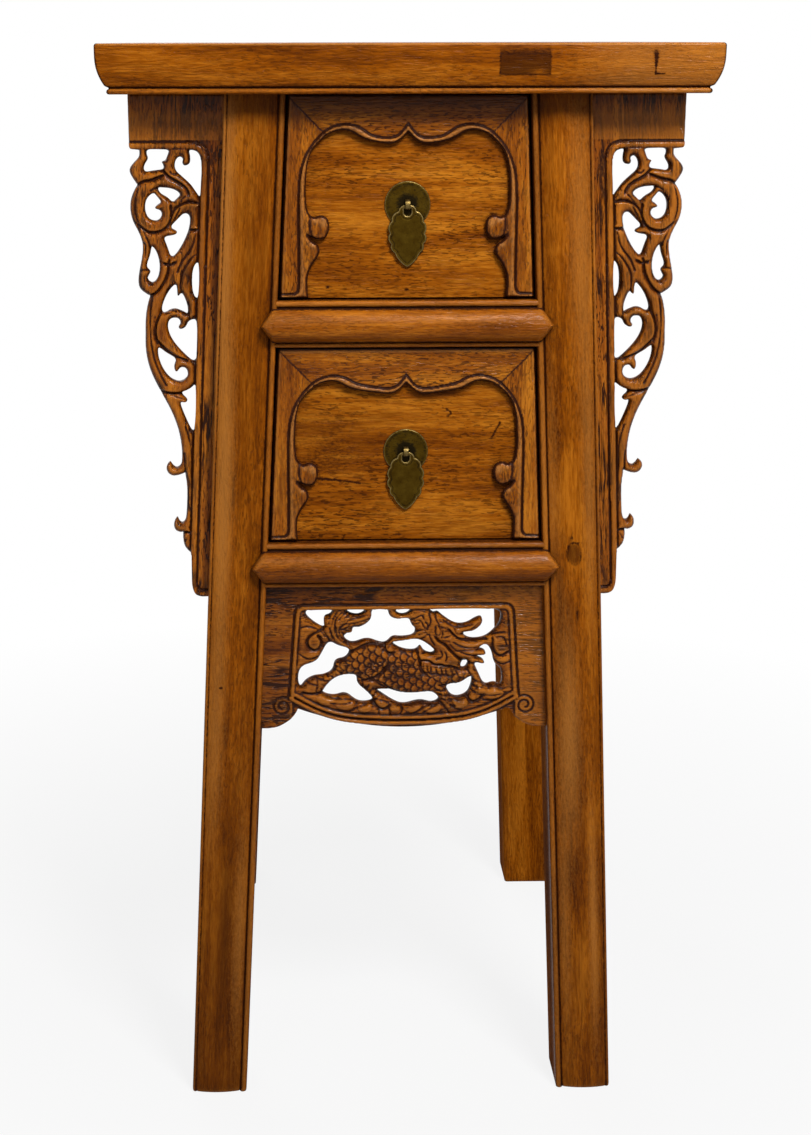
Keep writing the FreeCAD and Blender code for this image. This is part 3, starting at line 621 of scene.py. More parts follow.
    def sample(self, grid: Array, column: Array, row: Array) -> Array:
        """Values of a grid between its nodes, in proportion between the four nearest.

        Args:
            grid: value at each node.
            column: column of each point, as a real number.
            row: row of each point, as a real number.

        Returns:
            The value at each point.
        """
        j = np.floor(column).astype(int).clip(0, self.columns - 2)
        i = np.floor(row).astype(int).clip(0, self.rows - 2)
        u, v = column - j, row - i
        upper = grid[i, j] * (1 - u) + grid[i, j + 1] * u
        lower = grid[i + 1, j] * (1 - u) + grid[i + 1, j + 1] * u
        return upper * (1 - v) + lower * v

    def board(self, name: str, signed: Array, height: Array, back: float, along: Along, place: Placing,
              soil_and_shade: Values = 0.0, polish_and_highlight: Values = 0.0, stain: Values = 0.0, clean: float = 0.0) -> Piece:
        """Closed board: a carved front, a flat back and walls round its edge and openings.

        Args:
            name: name of the piece.
            signed: value at each node, negative inside the board.
            height: height of the front above the back at each node.
            back: depth of the back behind the legs' faces.
            along: direction of the grain.
            place: takes across, depth and drop to points of the part's frame.
            soil_and_shade: extra darkening at each node, from grimy wood and from painted shade as the caller
                gives it.
            polish_and_highlight: extra lightening at each node, from smoothed wood and from painted highlight
                as the caller gives it.
            stain: share of the dark tone at each node, for stains and for painted shadow.
            clean: share of the hollows' darkening that is taken off along the edge.

        Returns:
            The board, its hollows darkened and its ridges lightened.
        """
        mask = signed < 0
        hollow = self.blurred(height, mask, self.FINE_HOLLOW) - height
        broad = self.blurred(height, mask, self.BROAD_HOLLOW) - height
        # Hollows are darkened as grimy carving and as painted occlusion shade; ridges are lightened as
        # smoothed wood and as painted highlight.
        dirt = 1.3 * hollow.clip(0) + 0.20 * broad.clip(0)
        dirt = dirt * (1 - clean * fading(signed, self.CLEAN_REACH)) + soil_and_shade
        wear = 0.9 * (-hollow).clip(0) + 0.30 * (-broad).clip(0) + polish_and_highlight
        column, row, front = self.cut_out(signed)
        across = self.low[0] + column * self.pitch
        drop = self.low[1] + row * self.pitch
        rise = self.sample(height, column, row)
        count = len(column)
        side = np.concatenate([front[:, [k, (k + 1) % 4]] for k in range(4)])
        key = side[:, 0] * count + side[:, 1]
        rim = side[~np.isin(key, side[:, 1] * count + side[:, 0])]
        walls = np.stack([rim[:, 1], rim[:, 0], rim[:, 0] + count, rim[:, 1] + count], -1)
        depths = (back - rise, np.full(count, back))
        points = np.concatenate([place(across, depth, drop) for depth in depths])
        lined = np.concatenate([np.stack([across, depth, drop], -1) for depth in depths])
        dirty_and_shaded, worn_and_lit, stained_and_shadowed = (self.sample(np.broadcast_to(values, height.shape), column, row)
                                for values in (dirt, wear, stain))
        return Piece(name, points, outward(points, [np.concatenate([front, front[:, ::-1] + count, walls])]),
                     grain_place(lined, along), np.concatenate([dirty_and_shaded, np.full(count, self.BACK_DIRT)]),
                     np.concatenate([worn_and_lit, np.zeros(count)]), stain=np.tile(stained_and_shadowed, 2))


class Graph:
    """A node tree, with short ways to add nodes and to feed their sockets."""

    def __init__(self, tree: bpy.types.NodeTree) -> None:
        """Takes the tree to add to."""
        self.tree = tree

    @classmethod
    def of(cls, owner: bpy.types.Material | bpy.types.World) -> "Graph":
        """The node tree of a material or of the world, emptied."""
        owner.use_nodes = True
        owner.node_tree.nodes.clear()
        return cls(owner.node_tree)

    def add(self, kind: str, feeds: dict[int | str, object], **settings: object) -> bpy.types.Node:
        """Adds a node.

        Args:
            kind: type of the node, without the start of its name.
            feeds: by name or number of an input, a socket to link or a value to set.
            settings: properties of the node.

        Returns:
            The node.
        """
        node = self.tree.nodes.new("ShaderNode" + kind)
        for key, value in settings.items():
            setattr(node, key, value)
        for key, value in feeds.items():
            if isinstance(value, Socket):
                self.tree.links.new(value, node.inputs[key])
            else:
                node.inputs[key].default_value = value
        return node

    def math(self, operation: str, *values: object) -> Socket:
        """Result of a calculation with sockets or numbers."""
        return self.add("Math", dict(enumerate(values)), operation=operation).outputs[0]

    def ramp(self, value: Socket, low: float, high: float) -> Socket:
        """0 up to the low value, 1 from the high value, even between; reversed where low is above high."""
        return self.add("MapRange", {"Value": value, "From Min": low, "From Max": high}).outputs[0]

    def mix(self, share: object, one: object, two: object) -> Socket:
        """Colour between two colours."""
        return self.add("Mix", {0: share, 6: one, 7: two}, data_type="RGBA").outputs[2]

    def attribute(self, name: str, output: str = "Fac") -> Socket:
        """Attribute of a piece's points."""
        return self.add("Attribute", {}, attribute_name=name).outputs[output]

    def seen(self) -> Socket:
        """1 for what the camera sees, directly or in shiny and clear surfaces, and 0 for other light."""
        path = self.add("LightPath", {}).outputs
        seen = self.math("MAXIMUM", path["Is Camera Ray"], path["Is Glossy Ray"])
        return self.math("MAXIMUM", seen, path["Is Transmission Ray"])

    def noise(self, place: Socket, fineness: Triple, detail: float, rough: float = 0.5,
              warp: float = 0.0) -> Socket:
        """Noise over a place, its fineness per millimetre set along each axis.

        Args:
            place: coordinates in millimetres.
            fineness: waves per millimetre along, across and through the grain.
            detail: octaves of the noise.
            rough: strength of the finer octaves.
            warp: how far the noise is twisted.

        Returns:
            The noise, about 0.5.
        """
        scaled = self.add("VectorMath", {0: place, 1: fineness}, operation="MULTIPLY").outputs[0]
        return self.add("TexNoise", {"Vector": scaled, "Scale": 1.0, "Detail": detail, "Roughness": rough,
                                     "Distortion": warp}).outputs[0]


class Group:
    """A shader node group, built once and placed in each material that uses it."""
    name = "group"
    takes: dict[str, str] = {}
    gives: dict[str, str] = {}

    def fill(self, graph: Graph, taken: Sockets) -> Sockets:
        """Adds the group's nodes.

        Args:
            graph: the group's own tree.
            taken: sockets of the group's inputs by name.

        Returns:
            The sockets that feed its outputs, by name.
        """
        raise NotImplementedError

    def tree(self) -> bpy.types.NodeTree:
        """The group's tree.

        Returns:
            The tree, built on its first use.
        """
        found = bpy.data.node_groups.get(self.name)
        if found:
            return found
        tree = bpy.data.node_groups.new(self.name, "ShaderNodeTree")
        for way, sockets in (("INPUT", self.takes), ("OUTPUT", self.gives)):
            for label, kind in sockets.items():
                tree.interface.new_socket(name=label, in_out=way, socket_type="NodeSocket" + kind)
        start = tree.nodes.new("NodeGroupInput")
        end = tree.nodes.new("NodeGroupOutput")
        taken = {label: start.outputs[label] for label in self.takes}
        for label, socket in self.fill(Graph(tree), taken).items():
            tree.links.new(socket, end.inputs[label])
        return tree

    def place(self, graph: Graph, **feeds: object) -> Sockets:
        """Places the group in a material and gives its outputs by name."""
        node = graph.add("Group", feeds, node_tree=self.tree())
        return {label: node.outputs[label] for label in self.gives}


class GrainGroup(Group):
    """Wood grain: broad figure, fine streaks, dark pores and open cracks, all drawn out along the grain."""
    name = "wood_grain"
    takes = {"Place": "Vector", "Cracks": "Float"}
    gives = {"Tone": "Float", "Pores": "Float", "Normal": "Vector"}

    def fill(self, graph: Graph, taken: Sockets) -> Sockets:
        """Adds noises of different fineness: tone is their weighted sum, pores and cracks are thresholds.

        Args:
            graph: the group's own tree.
            taken: place in the grain and strength of the cracks.

        Returns:
            Sockets of the tone, the pores and the bumped normal.
        """
        place = taken["Place"]
        figure = graph.noise(place, (0.0045, 0.050, 0.050), 2.5, 0.55, 0.8)
        streak = graph.noise(place, (0.014, 0.24, 0.24), 3.0, 0.6, 0.3)
        fine = graph.noise(place, (0.085, 0.70, 0.70), 2.0, 0.6, 0.2)
        blotch = graph.noise(place, (0.011, 0.024, 0.024), 3.0, 0.6)
        tone = graph.math("MULTIPLY_ADD", figure, 0.38, graph.math("MULTIPLY", streak, 0.18))
        tone = graph.math("MULTIPLY_ADD", fine, 0.26, tone)
        tone = graph.ramp(graph.math("MULTIPLY_ADD", blotch, 0.18, tone), 0.39, 0.61)
        flecks = graph.ramp(graph.noise(place, (0.17, 0.78, 0.78), 1.0, 0.5, 0.25), 0.565, 0.605)
        pores = graph.math("MULTIPLY", flecks, graph.ramp(blotch, 0.72, 0.42))
        bend = graph.noise(place, (0.014, 0.16, 0.16), 3.0, 0.6, 0.6)
        ridge = graph.ramp(graph.math("ABSOLUTE", graph.math("SUBTRACT", bend, 0.5)), 0.055, 0.020)
        here = graph.ramp(graph.noise(place, (0.02, 0.06, 0.06), 1.0), 0.44, 0.54)
        crack = graph.math("MULTIPLY", graph.math("MULTIPLY", ridge, here), taken["Cracks"])
        dark = graph.math("MAXIMUM", pores, crack)
        height = graph.math("MULTIPLY_ADD", fine, 0.6, graph.math("MULTIPLY", dark, -1.0))
        normal = graph.add("Bump", {"Strength": 0.6, "Distance": 0.0007, "Height": height}).outputs[0]
        return {"Tone": tone, "Pores": dark, "Normal": normal}


class PatinaAndShadingGroup(Group):
    """Age and painted light over a finish: a dark colour over grimy wood and over painted shade, a lighter
    colour over smoothed wood and over painted highlights.
    """
    name = "patina"
    takes = {"Bare": "Color", "Dirt": "Float", "Wear": "Float", "Place": "Vector", "Grime": "Color",
             "Rubbed": "Color", "Rough": "Float"}
    gives = {"Colour": "Color", "Roughness": "Float"}

    def fill(self, graph: Graph, taken: Sockets) -> Sockets:
        """Breaks the darkening and the lightening up with specks, then lays the dark and the light colours
        over the bare colour.

        Args:
            graph: the group's own tree.
            taken: bare colour, darkening, lightening, place in the grain, dark and light colours, roughness.

        Returns:
            Sockets of the colour and the roughness.
        """
        speck = graph.noise(taken["Place"], (0.32, 0.75, 0.75), 2.0, 0.7)
        shift = graph.math("SUBTRACT", speck, 0.5)
        grime = graph.ramp(graph.math("MULTIPLY_ADD", shift, 1.25, taken["Dirt"]), 0.20, 0.70)
        rubbed = graph.ramp(graph.math("MULTIPLY_ADD", shift, 0.70, taken["Wear"]), 0.20, 0.95)
        rubbed = graph.math("MULTIPLY", rubbed, graph.math("SUBTRACT", 1.0, grime))
        colour = graph.mix(grime, taken["Bare"], taken["Grime"])
        colour = graph.mix(graph.math("MULTIPLY", rubbed, 0.75), colour, taken["Rubbed"])
        rough = graph.math("MULTIPLY_ADD", grime, 0.22, taken["Rough"])
        rough = graph.math("MULTIPLY_ADD", rubbed, -0.10, rough)
        return {"Colour": colour, "Roughness": graph.math("MULTIPLY_ADD", shift, 0.15, rough)}


def opaque(colour: Triple, share: float = 1.0) -> tuple[float, float, float, float]:
    """A colour, or a share of it, as a socket takes it."""
    return (*(share * part for part in colour), 1.0)


class Finish:
    """A finish of the stand, which gives pieces their material."""
    name: str

    def shade(self, graph: Graph, along: Along | None) -> None:
        """Fills the tree of a material."""
        raise NotImplementedError

    def material(self, along: Along | None = None) -> bpy.types.Material:
        """The finish's material.

        Args:
            along: grain of a node of the frame; None takes the place in the grain from the piece.

        Returns:
            The material, built on its first use.
        """
        name = self.name if along is None else f"{self.name}_{along.name.lower()}"
        made = bpy.data.materials.get(name)
        if made is None:
            made = bpy.data.materials.new(name)
            self.shade(Graph.of(made), along)
        return made


@dataclass(frozen=True)
class WoodFinish(Finish):
    """Oiled hardwood with dark pores, darkened hollows, partly painted shade, and lightened edges, partly
    painted highlight.
    """
    name: str
    deep: Triple
    middle: Triple
    bright: Triple
    grime: Triple = (0.028, 0.0058, 0.0008)
    rubbed: Triple = (0.44, 0.165, 0.028)
    pores: float = 0.7
    cracks: float = 0.5
    rough: float = 0.31
    shine: float = 0.045

    PORE_SHADE = 0.25
    STAIN_AND_SHADOW_TONE = 0.35
    MATT_ROUGH = 0.7

    def shade(self, graph: Graph, along: Along | None) -> None:
        """Grain, then age and painted light, over one shader.

        Args:
            graph: the material's tree.
            along: grain of a node of the frame, or None for a piece.
        """
        if along is None:
            place = graph.attribute("grain", "Vector")
        else:
            spot = graph.add("TexCoord", {}).outputs["Object"]
            parts = graph.add("SeparateXYZ", {0: spot}).outputs
            turned = graph.add("CombineXYZ", {k: parts[axis] for k, axis in enumerate(along.value)})
            scaled = graph.add("VectorMath", {0: turned.outputs[0], "Scale": 1 / MM}, operation="SCALE")
            place = scaled.outputs[0]
        dirt, wear, matt, stain = (graph.attribute(share) for share in POINT_SHARES)
        grain = GrainGroup().place(graph, Place=place, Cracks=self.cracks)
        ramp = graph.add("ValToRGB", {0: grain["Tone"]})
        stops = ramp.color_ramp.elements
        stops[0].color = opaque(self.deep)
        stops[1].color = opaque(self.bright)
        stops.new(0.5).color = opaque(self.middle)
        share = graph.math("MULTIPLY", grain["Pores"], self.pores)
        bare = graph.mix(share, ramp.outputs[0], opaque(self.deep, self.PORE_SHADE))
        # A darker tone, for stains and for painted shadows.
        bare = graph.mix(stain, bare, opaque(self.deep, self.STAIN_AND_SHADOW_TONE))
        aged = PatinaAndShadingGroup().place(graph, Bare=bare, Dirt=dirt, Wear=wear, Place=place, Rough=self.rough,
                                   Grime=opaque(self.grime), Rubbed=opaque(self.rubbed))
        rough = graph.math("MULTIPLY_ADD", matt, self.MATT_ROUGH, aged["Roughness"])
        shader = graph.add("BsdfPrincipled", {"Base Color": aged["Colour"], "Roughness": rough,
                                              "Normal": grain["Normal"], "Specular IOR Level": self.shine})
        graph.add("OutputMaterial", {"Surface": shader.outputs[0]})


class TarnishGroup(Group):
    """Tarnish of old brass: dull blotches and small dark pits."""
    name = "tarnish"
    takes = {"Place": "Vector"}
    gives = {"Blotch": "Float", "Pits": "Float", "Normal": "Vector"}

    def fill(self, graph: Graph, taken: Sockets) -> Sockets:
        """Adds a blotchy noise, a threshold of a finer one for the pits, and a bump from both.

        Args:
            graph: the group's own tree.
            taken: place on the brass.

        Returns:
            Sockets of the blotches, the pits and the bumped normal.
        """
        blotch = graph.ramp(graph.noise(taken["Place"], (0.16, 0.16, 0.16), 4.0, 0.6), 0.35, 0.65)
        pits = graph.ramp(graph.noise(taken["Place"], (0.9, 0.9, 0.9), 2.0), 0.60, 0.70)
        height = graph.math("SUBTRACT", blotch, pits)
        normal = graph.add("Bump", {"Strength": 0.18, "Distance": 0.0004, "Height": height}).outputs[0]
        return {"Blotch": blotch, "Pits": pits, "Normal": normal}


@dataclass(frozen=True)
class BrassFinish(Finish):
    """Old brass, dull olive on its faces and bright where hands have polished it."""
    name: str
    dull: Triple
    warm: Triple
    bright: Triple
    grime: Triple = (0.012, 0.008, 0.003)
    rough: float = 0.42

    PIT_DIRT = 0.4

    def shade(self, graph: Graph, along: Along | None) -> None:
        """Tarnish, then age and painted shade, over one metal shader.

        Args:
            graph: the material's tree.
            along: not used, as brass has no grain.
        """
        place = graph.attribute("grain", "Vector")
        tarnish = TarnishGroup().place(graph, Place=place)
        bare = graph.mix(tarnish["Blotch"], opaque(self.dull), opaque(self.warm))
        soil_and_shade = graph.math("MULTIPLY_ADD", tarnish["Pits"], self.PIT_DIRT, graph.attribute("dirt"))
        aged = PatinaAndShadingGroup().place(graph, Bare=bare, Dirt=soil_and_shade, Wear=graph.attribute("wear"), Place=place,
                                   Rough=self.rough, Grime=opaque(self.grime), Rubbed=opaque(self.bright))
        shader = graph.add("BsdfPrincipled", {"Base Color": aged["Colour"], "Roughness": aged["Roughness"],
                                              "Normal": tarnish["Normal"], "Metallic": 1.0})
        graph.add("OutputMaterial", {"Surface": shader.outputs[0]})


FRAME_WOOD = WoodFinish("oiled_frame", (0.105, 0.0225, 0.0005), (0.258, 0.0635, 0.001), (0.44, 0.134, 0.007),
                        pores=0.38)
PANEL_WOOD = WoodFinish("oiled_panel", (0.115, 0.024, 0.0005), (0.280, 0.0735, 0.002), (0.48, 0.160, 0.010),
                        cracks=0.3)
CARVED_WOOD = WoodFinish("oiled_carving", (0.095, 0.0195, 0.001), (0.250, 0.0625, 0.002),
                         (0.45, 0.142, 0.010), rubbed=(0.40, 0.130, 0.012), pores=0.95, cracks=1.25,
                         rough=0.19, shine=0.11)
# The arch's light colour is pale, as it also paints the highlights on its bead and curls.
ARCH_WOOD = replace(PANEL_WOOD, name="oiled_arch", rubbed=(0.45, 0.182, 0.042), pores=0.8, cracks=0.4,
                    rough=0.22, shine=0.11)
RAIL_WOOD = replace(FRAME_WOOD, name="oiled_rail", shine=0.09)
INNER_WOOD = WoodFinish("bare_inside", (0.20, 0.085, 0.025), (0.34, 0.165, 0.06), (0.46, 0.25, 0.11),
                        rough=0.6, shine=0.15)
AGED_BRASS = BrassFinish("old_brass", (0.042, 0.022, 0.002), (0.066, 0.038, 0.004), (0.46, 0.34, 0.14))


@dataclass(frozen=True)
class TopBoard:
    """The overhanging top: four mitred members with a moulded edge round a floating panel."""
    width: float = 460.0
    depth: float = 424.0
    thick: float = 36.0
    member: float = 66.0
    arris: float = 2.0
    upright: float = 8.0
    end_fall: float = 7.5
    front_fall: float = 4.5
    belly: float = 2.31
    bead: float = 1.95
    joint: float = 0.12

    # Stations next to a mitre, and starts, ends and steps of the fine ones at the repairs.
    ENDS = (0.0, 0.9, 2.2, 6.0, 14.0)
    FINE_SPANS = ((62, 106, 0.9), (172, 190, 0.8))
    # Place of each repair along the front and up it; the plug's half width and half height follow.
    PLUG = (83.5, 20.8, 18.5, 7.2)
    CHIP = (94.0, 15.2)
    SPLIT = 179.0
    HOOK = (182.5, 14.0)

    def section(self, undercut: float) -> list[Array]:
        """Section of a member, from its inner foot over the top and down the moulded edge.

        The belly falls in like a power of the drop below the shoulder; a quirk parts it from a round bead.

        Args:
            undercut: how far the foot of the belly lies inside the shoulder.

        Returns:
            Distance out from the outer face, height over the underside, darkening and lightening of each
            point.
        """
        turn = np.linspace(math.pi / 2, 0, 7)
        fall = np.linspace(0, 0.925, 27)
        roll = np.linspace(1.3, -math.pi / 2, 11)
        shoulder = self.thick - self.upright
        drop = shoulder - self.bead * 2.3
        return profile(
            ([-self.member] * 2, [0, self.thick - 0.4], 0.6, 0.0),
            (np.linspace(-self.member + 0.4, -self.arris - 4, 6), self.thick, 0.0, 0.0),
            # The arris is lightened: smoothed by use, and partly a painted highlight.
            (-self.arris + self.arris * np.cos(turn), self.thick - self.arris + self.arris * np.sin(turn),
             0.0, 0.9 * np.sin(2 * turn) + 0.1),
            (-undercut * fall ** self.belly, shoulder - drop * fall, 0.35 * fall ** 8, 0.12),
            (-undercut + np.array([0.0, -0.8, -1.4, -1.6]), [5.5, 5.2, 4.8, 4.2], [0.5, 0.8, 0.8, 0.6], 0.0),
            (-undercut - self.bead + self.bead * np.cos(roll), self.bead + self.bead * np.sin(roll),
             0.2, 0.5 * np.cos(roll - 0.7).clip(0)))

    def repairs(self, along: Array, up: Array) -> tuple[Array, Array]:
        """Repairs of the front edge: a let-in plug with a chipped corner, and a split with a hooked foot.

        Args:
            along: distance of each point from the middle of the front.
            up: height of each point over the underside.

        Returns:
            The darkening round the plug and in the split, and the plug's dark tone.
        """
        middle, level, wide, high = self.PLUG
        inside = np.maximum(np.abs(along - middle) - wide, np.abs(up - level) - high)
        chip = fading(np.hypot((along - self.CHIP[0]) / 2.4, up - self.CHIP[1]), 2.2)
        edge = 0.50 * fading(inside, 0.7)
        wedge = 0.8 + 2.8 * ((up - 19.0) / 13.0).clip(0, 1)
        crack = fading(along - self.SPLIT, wedge) * (np.abs(up - 23.0) < 9.5)
        hook = fading(up - self.HOOK[1], 0.9) * (np.abs(along - self.HOOK[0]) < 4.0)
        on_face = up < self.thick - self.arris
        return on_face * (edge + 0.9 * crack + 0.8 * hook), on_face * 0.84 * (inside < 0) * (1 - 0.7 * chip)

    def build(self) -> None:
        """Sweeps the section along each member between its mitres, where neighbouring sections meet."""
        ends = np.array(self.ENDS)
        for quarter, name in enumerate(("front", "right", "back", "left")):
            order = 1 if quarter % 2 == 0 else -1
            span, length = (self.depth, self.width)[::order]
            fall, fall_beyond = (self.front_fall, self.end_fall)[::order]
            out, up, dirt, wear = self.section(fall)
            beyond = self.section(fall_beyond)[0]
            run = length / 2 - self.joint
            share = np.concatenate([ends / run - 1, np.linspace(-0.92, 0.92, 27), 1 - ends[::-1] / run])
            if name == "front":
                fine = [np.arange(*stretch) / run for stretch in self.FINE_SPANS]
                share = np.sort(np.concatenate([share, *fine]))
            along = share[:, None] * (run + beyond)
            reach = np.broadcast_to(span / 2 + out, along.shape)
            height = np.broadcast_to(FRONT.underside + up, along.shape)
            turn = quarter * math.pi / 2
            x = along * math.cos(turn) + reach * math.sin(turn)
            y = along * math.sin(turn) - reach * math.cos(turn)
            soil_and_shade = dirt + 0.8 * fading((1 - np.abs(share)) * run, 1.0)[:, None]
            stain = 0.0
            if name == "front":
                marks, plug = self.repairs(along, up)
                on_edge = out > -fall - 1
                # Painted light on the front: painted shade over its left and middle, painted light over its
                # right end; the repairs' marks are the wood's own.
                soil_and_shade = soil_and_shade + marks * on_edge + 0.08 * (along < 120)
                wear = wear + 0.48 * ((along - 100) / 60).clip(0, 1) * on_edge
                stain = plug * on_edge
            grain = np.stack([along, reach, height], -1)
            piece = Piece.through(f"top_{name}", np.stack([x, y, height], -1), grain, soil_and_shade, wear, stain=stain)
            piece.build(FRAME_WOOD, Body.FRAME, Slot.FRAME_WOOD, (f"top_{name}_rail",))


@dataclass(frozen=True)
class Leg:
    """A splayed leg with a crowned face, a bead on its inner edge and a fine quirk on its outer edge."""
    side: Side
    rear: bool
    crown: float = 2.1
    bead: float = 4.6
    quirk: float = 3.0

    # Blots on the front face: out, height, half width, half height and, apart from the knot, a strength. The
    # blots at the joints are grimy and partly painted contact shade; the bands are painted shade and painted
    # light.
    FACE_DEEP = 6.0
    FOOT_STAIN = {Side.RIGHT: 0.27, Side.LEFT: 0.50}
    KNOT = (24.5, 471, 6, 9.4)
    JOINT_GRIME_AND_SHADE = ((9, 653, 8, 22, 0.30), (9, 463, 8, 22, 0.30))
    MARKS = {
        Side.RIGHT: ((20.5, 474, 1, 6, 0.5), (23, 484, 1.2, 5, 0.7), (28, 480, 4, 1, 0.5),
                     (29.5, 465, 1, 6, 0.4), (26.3, 422, 0.9, 6, 0.9), (37, 330, 3, 40, 0.15),
                     (20, 640, 9, 22, 0.2)),
        Side.LEFT: ((33.4, 362, 1.6, 1.2, 1), (12, 590, 5, 60, 0.18)),
    }
    PAINTED_SHADE_BANDS = {
        Side.RIGHT: ((4, 720, 9, 110, 0.24), (2, 150, 4, 90, 0.30), (42, 150, 4, 90, 0.20)),
        Side.LEFT: ((23, 740, 40, 100, 0.10), (24, 700, 7, 110, 0.22), (18, 520, 7, 140, 0.09),
                    (23, 150, 6.5, 90, 0.42)),
    }
    PAINTED_LIGHT_BANDS = {
        Side.RIGHT: ((35, 720, 11, 115, 0.52), (8, 520, 7, 110, 0.35), (38, 520, 6, 110, 0.55),
                     (18, 320, 9, 90, 0.75), (11, 150, 5, 100, 0.45), (35, 150, 4, 100, 0.70)),
        Side.LEFT: ((42.5, 720, 6.5, 115, 0.95), (36, 520, 7, 120, 0.90), (37, 320, 8, 100, 0.55),
                    (11, 150, 6, 100, 0.50)),
    }

    def section(self) -> list[Array]:
        """Section of the leg: out from its inner face and in from its front face, round from the inner edge.

        The bead is a half ellipse, the crown a parabola; the sides and the rear are flat with eased edges.

        Returns:
            Out, in, darkening and lightening of each point.
        """
        size = FRONT.leg_section
        angle = np.linspace(0, math.pi, 11)
        half = self.bead / 2
        crown = np.linspace(self.bead + 2.0, size - 3.6, 33)
        middle = (self.bead + 2.0 + size - 3.6) / 2
        spread = (size - 5.6 - self.bead) / 2
        return profile(
            (half - half * np.cos(angle), 0.6 + 1.9 * (1 - np.sin(angle)), 0.5 * np.abs(np.cos(angle)) ** 3,
             0.5 * np.sin(angle)),
            (self.bead + np.array([0.3, 0.8, 1.3]), [self.quirk, self.quirk, 2.4], [0.85, 0.85, 0.5], 0.0),
            (crown, self.crown * np.abs((crown - middle) / spread) ** 2.2, 0.0, 0.12),
            (size - np.array([3.0, 2.4, 1.6, 0.7, 0.2, 0.0]), [2.6, 2.5, 1.9, 2.2, 3.0, 4.6],
             [0.7, 0.5, 0.1, 0, 0.05, 0.15], [0, 0, 0.3, 0.5, 0.3, 0.1]),
            ([size, size, size - 1.5, size / 2, 1.5, 0, 0, 0],
             [size / 2, size - 1.5, size, size, size, size - 1.5, size / 2, 4.0],
             [0.2, 0.1, 0.1, 0.2, 0.2, 0.2, 0.3, 0.45], [0.0, 0.3, 0.3, 0.0, 0.3, 0.3, 0.0, 0.0]))

    def build(self) -> None:
        """Sweeps the section up the splay and the lean of the leg, its foot eased all round."""
        out, into, dirt, wear = self.section()
        z = np.concatenate([[0, 0.5, 1.2, 2.2, 3.5, 6, 10, 16], np.linspace(26, FRONT.underside, 84)])
        marks = () if self.rear else self.JOINT_GRIME_AND_SHADE + self.MARKS[self.side]
        fine = [np.arange(up - 2 * high, up + 2 * high, high / 4) for _, up, _, high, _ in marks]
        z = np.unique(np.concatenate([z] + fine).clip(0, FRONT.underside))[:, None]
        size = FRONT.leg_section
        eased = 1 - 2 * (1.0 - rounded(z / 3.5)) / size
        eased_out = size / 2 + (out - size / 2) * eased
        eased_in = size / 2 + (into - size / 2) * eased
        x = self.side.value * (FRONT.outer(z) - size + eased_out)
        y = (FRONT.stance(z) - eased_in) * (1 if self.rear else -1)
        height = np.broadcast_to(z, x.shape)
        on_face = into < self.FACE_DEEP
        # The upper end of each leg is darker, partly grimy and partly painted shadow of the overhanging top.
        soil_and_shade = dirt * (0.3 if self.rear else 1.0) + 0.20 * fading(FRONT.underside - z, 10.0)
        # Darker at the foot, partly grimy and partly painted contact shade.
        soil_and_shade = soil_and_shade + 0.25 * fading(z, 8.0)
        # Painted shadow of the overhanging top, darkest about 8 mm below it.
        stain = 0.55 * fading(FRONT.underside - z - 8.0, 14.0) + np.zeros(x.shape)
        rub_and_highlight = wear + 0.4 * fading(z, 3.0)
        if not self.rear:
            # Painted shade: the front legs darken towards the foot, where less light falls.
            foot = self.FOOT_STAIN[self.side] * (1 - z / 420).clip(0)
            # Painted shade and painted light in long bands across the crowned face, where the light falls
            # unevenly.
            stain += foot + 0.16 * fading(out - 11.0, 6.0) + 0.08 * fading(out - 38.0, 4.0)
            stain += blots(out, z, self.PAINTED_SHADE_BANDS[self.side])
            rub_and_highlight = rub_and_highlight + blots(out, z, self.PAINTED_LIGHT_BANDS[self.side]) * on_face
        if self.side is Side.RIGHT and not self.rear:
            knot = np.hypot((out - self.KNOT[0]) / self.KNOT[2], (z - self.KNOT[1]) / self.KNOT[3])
            stain += 0.68 * (4 * (1 - knot)).clip(0, 1) * on_face
            soil_and_shade = soil_and_shade + 0.4 * fading(knot - 0.95, 0.13) * on_face
        soil_and_shade = soil_and_shade + blots(out, z, marks) * on_face
        name = f"{'rear' if self.rear else 'front'}_{self.side.name.lower()}_leg"
        matt = np.where(on_face, float(self.rear), 1.0)
        piece = Piece.through(f"{name}_post", np.stack([x, y, height], -1),
                              np.stack([height, eased_out, eased_in], -1), soil_and_shade, rub_and_highlight, matt, stain)
        piece.build(FRAME_WOOD, Body.FRAME, Slot.FRAME_WOOD, (name,))


